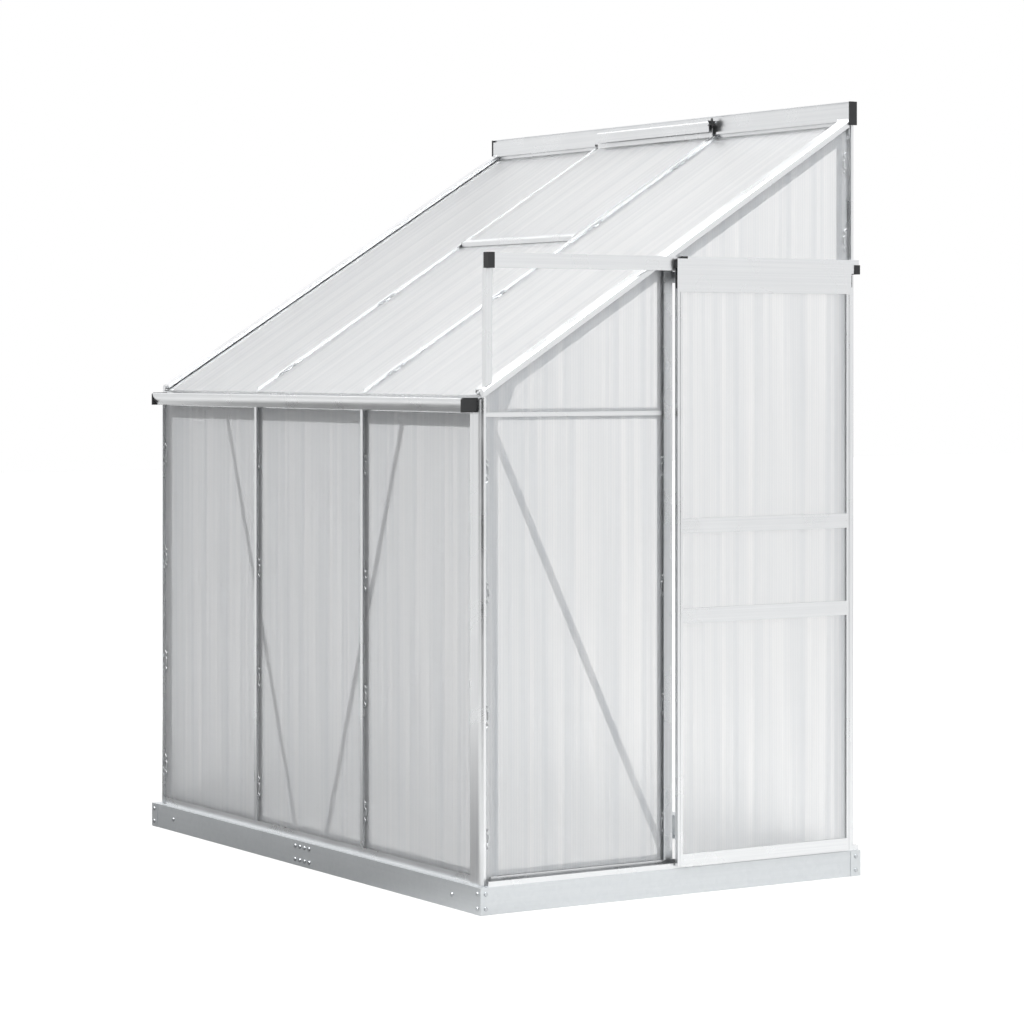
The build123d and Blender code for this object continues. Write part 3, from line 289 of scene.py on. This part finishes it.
def galvanised_sheet():
    """Hot-dip galvanised steel sheet: pale grey and satin, with faint 12 mm flakes and long roll marks."""
    material, tree, shader = new_finish("galvanised_steel_sheet", {"Metallic": 0.9})
    place = add(tree, "ShaderNodeTexCoord")
    flakes = add(
        tree, "ShaderNodeTexVoronoi", values={"Scale": 1 / 0.012}, links={"Vector": place.outputs["Object"]}
    )
    lay = add(
        tree, "ShaderNodeMapping", {"vector_type": "TEXTURE"}, {"Scale": (0.4, 0.4, 0.009)},
        {"Vector": place.outputs["Object"]},
    )
    marks = add(
        tree, "ShaderNodeTexNoise", values={"Scale": 1.0, "Detail": 4.0}, links={"Vector": lay.outputs[0]}
    )
    flake = add(tree, "ShaderNodeSeparateColor", links={"Color": flakes.outputs["Color"]})
    blend = add(
        tree, "ShaderNodeMath", {"operation": "MULTIPLY_ADD"}, {1: 0.12, 2: 0.2}, {0: flake.outputs[0]}
    )
    both = add(
        tree, "ShaderNodeMath", {"operation": "MULTIPLY_ADD"}, {1: 0.4},
        {0: marks.outputs["Fac"], 2: blend.outputs[0]},
    )
    tone = add(
        tree, "ShaderNodeMix", {"data_type": "RGBA"}, {"A": linear("#C9CDD0"), "B": linear("#DFE2E4")},
        {"Factor": both.outputs[0]},
    )
    satin = add(
        tree, "ShaderNodeMapRange", values={"To Min": 0.4, "To Max": 0.48}, links={"Value": flake.outputs[1]}
    )
    relief = add(
        tree, "ShaderNodeBump", values={"Strength": 0.05, "Distance": 0.0004},
        links={"Height": both.outputs[0]},
    )
    tree.links.new(tone.outputs["Result"], shader.inputs["Base Color"])
    tree.links.new(satin.outputs[0], shader.inputs["Roughness"])
    tree.links.new(relief.outputs[0], shader.inputs["Normal"])
    return material


GALVANISED = galvanised_sheet()


def moulded_plastic():
    """Black polypropylene caps, injection moulded: charcoal with a dull fine grain.

    The grain is about half a millimetre and is drawn at two.
    """
    material, tree, shader = new_finish("moulded_black_polypropylene", {"IOR": 1.49})
    place = add(tree, "ShaderNodeTexCoord")
    grain = add(
        tree, "ShaderNodeTexNoise", values={"Scale": 1 / 0.002, "Detail": 2.0},
        links={"Vector": place.outputs["Object"]},
    )
    scuff = add(
        tree, "ShaderNodeTexNoise", values={"Scale": 1 / 0.02, "Detail": 3.0},
        links={"Vector": place.outputs["Object"]},
    )
    tone = add(
        tree, "ShaderNodeMix", {"data_type": "RGBA"}, {"A": linear("#141516"), "B": linear("#242527")},
        {"Factor": scuff.outputs["Fac"]},
    )
    satin = add(
        tree, "ShaderNodeMapRange", values={"To Min": 0.38, "To Max": 0.6},
        links={"Value": scuff.outputs["Fac"]},
    )
    relief = add(
        tree, "ShaderNodeBump", values={"Strength": 0.25, "Distance": 0.0003},
        links={"Height": grain.outputs["Fac"]},
    )
    tree.links.new(tone.outputs["Result"], shader.inputs["Base Color"])
    tree.links.new(satin.outputs[0], shader.inputs["Roughness"])
    tree.links.new(relief.outputs[0], shader.inputs["Normal"])
    return material


BLACK_PLASTIC = moulded_plastic()


def bright_metal(name, dark, pale, rough, spot):
    """Small bright metal parts, plated or drawn: one tone that clouds a little over spots of a given size."""
    material, tree, shader = new_finish(name, {"Metallic": 1.0})
    place = add(tree, "ShaderNodeTexCoord")
    cloud = add(
        tree, "ShaderNodeTexNoise", values={"Scale": 1 / spot, "Detail": 2.0},
        links={"Vector": place.outputs["Object"]},
    )
    tone = add(
        tree, "ShaderNodeMix", {"data_type": "RGBA"}, {"A": linear(dark), "B": linear(pale)},
        {"Factor": cloud.outputs["Fac"]},
    )
    satin = add(
        tree, "ShaderNodeMapRange", values={"To Min": rough - 0.08, "To Max": rough + 0.08},
        links={"Value": cloud.outputs["Fac"]},
    )
    tree.links.new(tone.outputs["Result"], shader.inputs["Base Color"])
    tree.links.new(satin.outputs[0], shader.inputs["Roughness"])
    return material


ZINC = bright_metal("zinc_plated_steel_bolts", "#A9ADB0", "#D2D5D8", 0.3, 0.004)
SPRING_WIRE = bright_metal("drawn_stainless_spring_wire", "#D2D4D6", "#EDEEEF", 0.3, 0.006)


def nylon():
    """White nylon rollers, turned: off-white with a faint waxy gloss that wears in rings."""
    material, tree, shader = new_finish("turned_white_nylon", {"IOR": 1.53})
    place = add(tree, "ShaderNodeTexCoord")
    wear = add(
        tree, "ShaderNodeTexNoise", values={"Scale": 1 / 0.005, "Detail": 2.0},
        links={"Vector": place.outputs["Object"]},
    )
    tone = add(
        tree, "ShaderNodeMix", {"data_type": "RGBA"}, {"A": linear("#DAD9D3"), "B": linear("#EFEEEA")},
        {"Factor": wear.outputs["Fac"]},
    )
    satin = add(
        tree, "ShaderNodeMapRange", values={"To Min": 0.35, "To Max": 0.5},
        links={"Value": wear.outputs["Fac"]},
    )
    tree.links.new(tone.outputs["Result"], shader.inputs["Base Color"])
    tree.links.new(satin.outputs[0], shader.inputs["Roughness"])
    return material


NYLON = nylon()


def twin_wall_polycarbonate():
    """Twin-wall polycarbonate sheet, extruded: clear white, so rough that only what lies close behind it
    shows, with a fine line at each rib.

    The ribs stand 8 mm apart, and the extrusion leaves soft streaks some 22 mm wide along them.
    """
    constants = {"IOR": 1.58, "Transmission Weight": 0.97}
    material, tree, shader = new_finish("twin_wall_polycarbonate", constants)
    place = add(tree, "ShaderNodeUVMap", {"uv_map": "flutes"})
    part = add(tree, "ShaderNodeSeparateXYZ", links={"Vector": place.outputs[0]})
    pitch = add(
        tree, "ShaderNodeMath", {"operation": "MULTIPLY_ADD"}, {1: 1 / (FLUTE_PITCH * MM), 2: 0.5},
        {0: part.outputs["X"]},
    )
    cell = add(tree, "ShaderNodeMath", {"operation": "FRACT"}, links={0: pitch.outputs[0]})
    middle = add(tree, "ShaderNodeMath", {"operation": "SUBTRACT"}, {1: 0.5}, {0: cell.outputs[0]})
    away = add(tree, "ShaderNodeMath", {"operation": "ABSOLUTE"}, links={0: middle.outputs[0]})
    rib = add(
        tree, "ShaderNodeMapRange", {"interpolation_type": "SMOOTHSTEP"},
        {"From Min": 0.2, "From Max": 0.0, "To Min": 0.0, "To Max": 1.0}, {"Value": away.outputs[0]},
    )
    lay = add(
        tree, "ShaderNodeMapping", {"vector_type": "TEXTURE"}, {"Scale": (0.022, 1.6, 1.0)},
        {"Vector": place.outputs[0]},
    )
    streak = add(
        tree, "ShaderNodeTexNoise", values={"Scale": 1.0, "Detail": 3.0}, links={"Vector": lay.outputs[0]}
    )
    band = add(
        tree, "ShaderNodeMapRange",
        values={"From Min": 0.36, "From Max": 0.68, "To Min": 0.0, "To Max": 1.0},
        links={"Value": streak.outputs["Fac"]},
    )
    shade = add(
        tree, "ShaderNodeMath", {"operation": "MULTIPLY_ADD", "use_clamp": True}, {1: 0.8},
        {0: rib.outputs[0], 2: band.outputs[0]},
    )
    tone = add(
        tree, "ShaderNodeMix", {"data_type": "RGBA"}, {"A": linear("#FFFFFF"), "B": linear("#EEF0F2")},
        {"Factor": shade.outputs[0]},
    )
    satin = add(
        tree, "ShaderNodeMapRange",
        values={"From Min": 0.3, "From Max": 0.7, "To Min": 0.32, "To Max": 0.42},
        links={"Value": streak.outputs["Fac"]},
    )
    relief = add(
        tree, "ShaderNodeBump", values={"Strength": 0.3, "Distance": 0.0004},
        links={"Height": rib.outputs[0]},
    )
    tree.links.new(tone.outputs["Result"], shader.inputs["Base Color"])
    tree.links.new(satin.outputs[0], shader.inputs["Roughness"])
    tree.links.new(relief.outputs[0], shader.inputs["Normal"])
    return material


POLYCARBONATE = twin_wall_polycarbonate()

# Panes

SPINE = 2.5
FRONT_HEAD_GAP = 4.0
ROOF_FOOT, ROOF_HEAD, VENT_GAP = -584.0, 608.0, 117.0
BAY_FRONT = (-570.5, DOOR_POST - SPINE)
BAY_BACK = (DOOR_POST + SPINE, 610.0)
LOW_BAY_BACK = (DOOR_POST + SPINE, 617.5)
GABLE_RISE = -6.0
DOOR_FACE, DOOR_SIDES = 956.0, (17.0, 581.0)
DOOR_ROWS = ((101.0, 729.0), (754.5, 969.0), (994.5, 1611.0))
VENT_SIDES, VENT_ENDS, VENT_RISE = (-301.0, 293.5), (110.5, 597.0), 12.4


def upright_patch(side, y0, y1, foot, heads):
    """Outer face of an end-wall sheet, seen from outside; heads are its heights at y0 and y1."""
    if side == "right":
        x = RIGHT_WALL - SEAT + PANE
        return (x, y0, foot), (x, y1, foot), (x, y1, heads[1]), (x, y0, heads[0])
    x = LEFT_WALL + SEAT - PANE
    return (x, y1, foot), (x, y0, foot), (x, y0, heads[0]), (x, y1, heads[1])


def roof_patch(x0, x1, y0, y1, rise):
    """Outer face of a sheet that lies along the roof."""
    low, high = roof_z(y0, rise), roof_z(y1, rise)
    return (x0, y0, low), (x1, y0, low), (x1, y1, high), (x0, y1, high)


front_y = FRONT_WALL + SEAT - PANE
front_head = GUTTER_FLOOR - FRONT_HEAD_GAP
sheets(
    "front_sheets",
    [((x0, front_y, SILL_TOP), (x1, front_y, SILL_TOP), (x1, front_y, front_head), (x0, front_y, front_head))
     for x0, x1 in BAYS],
    "frame", "front_panels",
)
roof_heads = (ROOF_HEAD, VENT_GAP, ROOF_HEAD)
sheets(
    "roof_sheets",
    [roof_patch(x0, x1, ROOF_FOOT, head, PANE) for (x0, x1), head in zip(BAYS, roof_heads)],
    "frame", "roof_panels",
)
gable_foot = GABLE_BAR + SPINE
low_heads = (GABLE_BAR - SPINE,) * 2
back_heads = [roof_z(y, GABLE_RISE) for y in BAY_BACK]
for side in ("left", "right"):
    patches = [
        upright_patch(side, *BAY_FRONT, SILL_TOP, low_heads),
        upright_patch(side, *BAY_FRONT, gable_foot, [roof_z(y, GABLE_RISE) for y in BAY_FRONT]),
    ]
    if side == "left":
        patches.append(upright_patch(side, *LOW_BAY_BACK, SILL_TOP, low_heads))
        patches.append(upright_patch(side, *BAY_BACK, gable_foot, back_heads))
    else:
        patches.append(upright_patch(side, *BAY_BACK, HEADER + SPINE, back_heads))
    sheets(f"end_sheets_{side}", patches, "frame", f"end_panels_{side}")

y0, y1 = DOOR_SIDES
sheets(
    "door_sheets",
    [((DOOR_FACE, y0, z0), (DOOR_FACE, y1, z0), (DOOR_FACE, y1, z1), (DOOR_FACE, y0, z1))
     for z0, z1 in DOOR_ROWS],
    "door", "door_panels",
)
sheets("vent_sheet", [roof_patch(*VENT_SIDES, *VENT_ENDS, VENT_RISE)], "vent", "vent_panel")

# Gutter: a lip, a front rolled under by a parabola, the floor, the back wall and a skirt behind the panes

GUTTER_RUN, GUTTER_SHEET = (-891.5, 901.0), 1.5
GUTTER_FRONT, GUTTER_BACK = -635.0, -573.0
FRONT_RISE, FRONT_TUCK, FRONT_POINTS = 34.0, 16.0, 16
LIP_REACH, LIP_RADIUS = 10.0, 2.0
FLOOR_BEND, FLOOR_RADIUS, FLOOR_START = -618.4, 4.0, 222
CREASE_RADIUS = 1.2
BACK_TOP, SKIRT_FOOT = 1330.0, 1250.0

front_rise = np.linspace(FRONT_RISE, FLOOR_RADIUS, FRONT_POINTS)
front_tuck = FRONT_TUCK * (1 - front_rise / FRONT_RISE) ** 2
rim = GUTTER_FLOOR + FRONT_RISE
trough = np.concatenate([
    [(GUTTER_FRONT + LIP_REACH, rim + LIP_RADIUS)],
    round_bend((GUTTER_FRONT + LIP_RADIUS, rim), LIP_RADIUS, 90, 180)[:-1],
    np.stack([GUTTER_FRONT + front_tuck, GUTTER_FLOOR + front_rise], -1),
    round_bend((FLOOR_BEND, GUTTER_FLOOR + FLOOR_RADIUS), FLOOR_RADIUS, FLOOR_START, 270),
    round_bend((GUTTER_BACK - CREASE_RADIUS, GUTTER_FLOOR + CREASE_RADIUS), CREASE_RADIUS, 270, 360, 3),
    [(GUTTER_BACK, BACK_TOP)],
])
skirt = [(GUTTER_BACK, SKIRT_FOOT), (GUTTER_BACK, GUTTER_FLOOR)]
trough_points, trough_faces = folded_strip(trough, GUTTER_SHEET, *GUTTER_RUN)
skirt_points, skirt_faces = folded_strip(skirt, GUTTER_SHEET, *GUTTER_RUN)
make_piece(
    "rolled_gutter", np.concatenate([trough_points, skirt_points]),
    np.concatenate([trough_faces, skirt_faces + len(trough_points)]), ALONG_X, "frame",
    ("eave_gutter",), crease=30,
)

# Glazing clips

UP, DOWN = (0.0, 0.0, 1.0), (0.0, 0.0, -1.0)
ROOF_UP = (0.0, -ROOF_SIN, ROOF_COS)
ROOF_RUN = (0.0, ROOF_COS, ROOF_SIN)
ROOF_BACK = (0.0, -ROOF_COS, -ROOF_SIN)
CLIP_ROWS, CLIP_OVER_SILL, CLIP_UNDER_GUTTER = 4, 118.0, 152.0
ROOF_CLIPS = (0.09, 0.365, 0.64, 0.89)
BELOW_VENT = 2
HEADER_CLIPS = (111.0, 322.0)
front_rows = np.linspace(SILL_TOP + CLIP_OVER_SILL, GUTTER_FLOOR - CLIP_UNDER_GUTTER, CLIP_ROWS)
roof_rows = [FRONT_WALL + step * (RIDGE_FRONT - FRONT_WALL) for step in ROOF_CLIPS]
clip_places = []
for index, (x0, x1) in enumerate(BAYS):
    for z in front_rows:
        clip_places.append(((x0, front_y, z), DOWN, (0, -1, 0)))
        clip_places.append(((x1, front_y, z), UP, (0, -1, 0)))
    for y in roof_rows[:BELOW_VENT] if index == 1 else roof_rows:
        clip_places.append(((x0, y, roof_z(y, PANE)), ROOF_BACK, ROOF_UP))
        clip_places.append(((x1, y, roof_z(y, PANE)), ROOF_RUN, ROOF_UP))
left_face, right_face = LEFT_WALL + SEAT - PANE, RIGHT_WALL - SEAT + PANE
for face_x, outward, towards_back, towards_front, bays in (
    (left_face, (-1, 0, 0), UP, DOWN, (BAY_FRONT, LOW_BAY_BACK)),
    (right_face, (1, 0, 0), DOWN, UP, (BAY_FRONT,)),
):
    for y0, y1 in bays:
        for z in front_rows:
            clip_places.append(((face_x, y0, z), towards_back, outward))
            clip_places.append(((face_x, y1, z), towards_front, outward))
    for rise in HEADER_CLIPS:
        clip_places.append(((face_x, BAY_BACK[1], HEADER + rise), towards_front, outward))
bent_wires("sprung_wire_clips", clip_places, SPRING_WIRE, "frame", "glazing_clips")

# Finishes of the solids that stay

FINISHES = {
    GALVANISED: "base_back_left base_back_right base_corner_brackets base_end_left base_end_right "
                "base_front_left base_front_right base_joint_plates",
    ZINC: "bolts",
    BLACK_PLASTIC: "door_rail_plugs door_track_caps gutter_caps ridge_caps vent_plugs",
    NYLON: "door_roller_front door_roller_back",
    UPRIGHT: "back_post_left back_post_right corner_post_left corner_post_right door_hangers door_post "
             "door_stile_front door_stile_back door_track_post eave_gussets end_braces front_bars "
             "front_braces mid_post_left",
    ALONG_X: "ridge_bar sill_front vent_bottom_bar vent_hinge_rail vent_sill vent_top_bar",
    ALONG_Y: "door_bottom_guide door_bottom_rail door_header door_mid_rails door_top_rail door_track "
             "gable_bar_left gable_bar_right sill_end_left sill_end_right",
    SLOPING: "end_rafter_left end_rafter_right mid_rafters vent_side_bars vent_stay vent_stay_peg",
}
for material, names in FINISHES.items():
    for name in names.split():
        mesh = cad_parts[name].data
        mesh.materials.clear()
        mesh.materials.append(material)

# Stage: floor, light and camera

FLOOR_HALF, FLOOR_LINES, FLOOR_DROP = 30.0, 7, 0.001
# Painted shade: the patch in front of the object where the floor turns dark grey in reflections
SHADE_MIDDLE = (-1.3, -1.1, 0.0)
SHADE_REACH = (2.4, 1.2, 1.0)


def pale_floor():
    """Matt pale studio floor. It takes the object's shadow, and is lifted to white where it is seen. It also
    carries
    painted shade: close to the front, what metal mirrors of it and what panes let through turns dark grey, so
    that low faces and lower panes there darken."""
    material, tree, shader = new_finish("pale_floor_with_painted_shade", {"Roughness": 0.9})
    place = add(tree, "ShaderNodeTexCoord")
    mottle = add(
        tree, "ShaderNodeTexNoise", values={"Scale": 1 / 0.4, "Detail": 2.0},
        links={"Vector": place.outputs["Object"]},
    )
    tone = add(
        tree, "ShaderNodeMix", {"data_type": "RGBA"}, {"A": linear("#B2B2B1"), "B": linear("#B6B6B5")},
        {"Factor": mottle.outputs["Fac"]},
    )
    path = add(tree, "ShaderNodeLightPath")
    mirrored = add(
        tree, "ShaderNodeMath", {"operation": "SUBTRACT", "use_clamp": True},
        links={0: path.outputs["Is Glossy Ray"], 1: path.outputs["Is Transmission Ray"]},
    ).outputs[0]
    patch = add(
        tree, "ShaderNodeMapping", {"vector_type": "TEXTURE"},
        {"Location": SHADE_MIDDLE, "Scale": SHADE_REACH}, {"Vector": place.outputs["Object"]},
    )
    away, shade_away = (
        add(tree, "ShaderNodeVectorMath", {"operation": "LENGTH"}, links={0: source})
        for source in (place.outputs["Object"], patch.outputs[0])
    )
    depth = add(tree, "ShaderNodeSeparateXYZ", links={"Vector": place.outputs["Object"]})
    far_white = add(
        tree, "ShaderNodeMapRange", {"interpolation_type": "SMOOTHSTEP"},
        {"From Min": 1.5, "From Max": 4.5, "To Min": 0.55, "To Max": 0.9},
        {"Value": away.outputs["Value"]},
    )
    lift = add(
        tree, "ShaderNodeMath", {"operation": "MULTIPLY"},
        links={0: far_white.outputs[0], 1: path.outputs["Is Camera Ray"]},
    ).outputs[0]
    dark = add(tree, "ShaderNodeValue").outputs[0]
    dark.default_value = 0.0
    # Painted shade: transmission rays towards the front and glossy rays inside the patch meet a floor mixed
    # towards dark grey
    for ray, measure, near, far, amount in (
        (path.outputs["Is Transmission Ray"], depth.outputs["Y"], -3.0, 0.6, 0.45),
        (mirrored, shade_away.outputs["Value"], 0.7, 1.2, 0.5),
    ):
        fade = add(
            tree, "ShaderNodeMapRange", {"interpolation_type": "SMOOTHSTEP"},
            {"From Min": near, "From Max": far}, {"Value": measure},
        )
        lit = add(
            tree, "ShaderNodeMath", {"operation": "MULTIPLY"}, links={0: fade.outputs[0], 1: ray}
        ).outputs[0]
        lift = add(
            tree, "ShaderNodeMath", {"operation": "MULTIPLY_ADD"}, {1: amount}, {0: lit, 2: lift}
        ).outputs[0]
        unlit = add(tree, "ShaderNodeMath", {"operation": "SUBTRACT"}, links={0: ray, 1: lit}).outputs[0]
        dark = add(tree, "ShaderNodeMath", {"operation": "ADD"}, links={0: dark, 1: unlit}).outputs[0]
    painted_shade_tone = add(
        tree, "ShaderNodeMix", {"data_type": "RGBA"}, {"B": linear("#747474")},
        {"Factor": dark, "A": tone.outputs["Result"]},
    )
    tree.links.new(painted_shade_tone.outputs["Result"], shader.inputs["Base Color"])
    shader.inputs["Emission Color"].default_value = (1.0, 1.0, 1.0, 1.0)
    tree.links.new(lift, shader.inputs["Emission Strength"])
    return material


floor_mesh = bpy.data.meshes.new("studio_floor")
reach = np.linspace(-FLOOR_HALF, FLOOR_HALF, FLOOR_LINES)
floor_x, floor_y = np.meshgrid(reach, reach)
floor_points = np.stack([floor_x, floor_y, np.full_like(floor_x, -FLOOR_DROP)], -1).reshape(-1, 3)
floor_mesh.from_pydata(floor_points.tolist(), [], grid_faces(FLOOR_LINES, FLOOR_LINES).tolist())
floor_mesh.materials.append(pale_floor())
floor = bpy.data.objects.new("studio_floor", floor_mesh)
bpy.context.scene.collection.objects.link(floor)


def painted_reflection_board():
    """Matt charcoal board that stands between the camera and the object and shows in reflections alone: a
    painted dark reflection, so that rounded edges that face the camera darken as they would towards an unlit
    side of a studio."""
    material, tree, shader = new_finish("charcoal_painted_reflection", {"Roughness": 0.9})
    place = add(tree, "ShaderNodeTexCoord")
    mottle = add(
        tree, "ShaderNodeTexNoise", values={"Scale": 1 / 0.5, "Detail": 2.0},
        links={"Vector": place.outputs["Object"]},
    )
    tone = add(
        tree, "ShaderNodeMix", {"data_type": "RGBA"}, {"A": linear("#2C2D2E"), "B": linear("#343536")},
        {"Factor": mottle.outputs["Fac"]},
    )
    tree.links.new(tone.outputs["Result"], shader.inputs["Base Color"])
    return material


BOARD_FOOT, BOARD_WIDTH, BOARD_HEIGHT = np.array([4.3, -2.7]), 4.4, 3.0
BOARD_ALONG = np.array([0.529, 0.849])
BOARD_ROWS, BOARD_COLUMNS = 4, 5
board_mesh = bpy.data.meshes.new("reflection_only_board")
board_u, board_z = np.meshgrid(
    np.linspace(-0.5, 0.5, BOARD_COLUMNS) * BOARD_WIDTH, np.linspace(0.0, BOARD_HEIGHT, BOARD_ROWS)
)
board_xy = BOARD_FOOT + board_u[..., None] * BOARD_ALONG
board_points = np.concatenate([board_xy, board_z[..., None]], -1).reshape(-1, 3)
board_mesh.from_pydata(board_points.tolist(), [], grid_faces(BOARD_ROWS, BOARD_COLUMNS).tolist())
board_mesh.materials.append(painted_reflection_board())
board = bpy.data.objects.new("reflection_only_board", board_mesh)
bpy.context.scene.collection.objects.link(board)
# Painted reflection: the board is seen by glossy rays alone, casts no shadow and gives no diffuse light
board.visible_camera = board.visible_diffuse = board.visible_transmission = board.visible_shadow = False


def soft_lamp(name, place, target, size, power):
    """Square soft box that faces a point."""
    lamp = bpy.data.lights.new(name, "AREA")
    lamp.shape = "SQUARE"
    lamp.size = size
    lamp.energy = power
    holder = bpy.data.objects.new(name, lamp)
    bpy.context.scene.collection.objects.link(holder)
    aim = np.array(target, float) - np.array(place, float)
    holder.location = place
    flat = math.hypot(aim[0], aim[1])
    holder.rotation_euler = (math.atan2(flat, -aim[2]), 0.0, math.atan2(aim[1], aim[0]) - math.pi / 2)
    return holder


soft_lamp("key_soft_box", place=(5.0, -0.8, 7.2), target=(0.0, 0.0, 1.0), size=5.0, power=620.0)
soft_lamp("top_soft_box", place=(-2.0, -2.0, 6.5), target=(0.0, 0.0, 1.2), size=6.0, power=280.0)

# World: white to the camera, through panes and in metal, but for a painted dark reflection in a quarter that
# faces the front

GLOSSY_DIM_QUARTER = (-0.2, -0.98, 0.0)
DIFFUSE_LEVEL = 0.5
world = bpy.data.worlds.new("white_studio")
bpy.context.scene.world = world
world.use_nodes = True
sky = world.node_tree
sky.nodes.clear()
ray = add(sky, "ShaderNodeLightPath")
way = add(sky, "ShaderNodeTexCoord")
turned = add(
    sky, "ShaderNodeVectorMath", {"operation": "DOT_PRODUCT"}, {1: GLOSSY_DIM_QUARTER}, {0: way.outputs["Generated"]}
)
shade = add(
    sky, "ShaderNodeMapRange", {"interpolation_type": "SMOOTHSTEP"},
    {"From Min": 0.82, "From Max": 0.92, "To Min": 1.0, "To Max": 0.2}, {"Value": turned.outputs["Value"]},
)
# Painted reflection: the quarter is dimmed for glossy rays alone, so metal mirrors a darkness that lights
# nothing
mirrored = add(
    sky, "ShaderNodeMath", {"operation": "SUBTRACT", "use_clamp": True},
    links={0: ray.outputs["Is Glossy Ray"], 1: ray.outputs["Is Transmission Ray"]},
).outputs[0]
mirror = add(
    sky, "ShaderNodeMath", {"operation": "MULTIPLY"}, links={0: shade.outputs[0], 1: mirrored}
).outputs[0]
level = add(
    sky, "ShaderNodeMath", {"operation": "MULTIPLY"}, {1: DIFFUSE_LEVEL}, {0: ray.outputs["Is Diffuse Ray"]}
).outputs[0]
for seen in (ray.outputs["Is Camera Ray"], ray.outputs["Is Transmission Ray"], mirror):
    level = add(sky, "ShaderNodeMath", {"operation": "MAXIMUM"}, links={0: level, 1: seen}).outputs[0]
glow = add(sky, "ShaderNodeBackground", values={"Color": (1, 1, 1, 1)}, links={"Strength": level})
add(sky, "ShaderNodeOutputWorld", links={"Surface": glow.outputs[0]})

camera = bpy.data.cameras.new("camera")
camera.lens = 113.374
camera.sensor_width = 36.0
camera.shift_x = 0.02537
camera.shift_y = -0.14611
camera.clip_end = 200.0
viewer = bpy.data.objects.new("camera", camera)
viewer.location = (7.96511, -4.96296, 1.41795)
viewer.rotation_euler = (math.pi / 2, 0.0, math.radians(58.0521))
bpy.context.scene.collection.objects.link(viewer)
bpy.context.scene.camera = viewer
bpy.context.scene.view_settings.view_transform = "Standard"
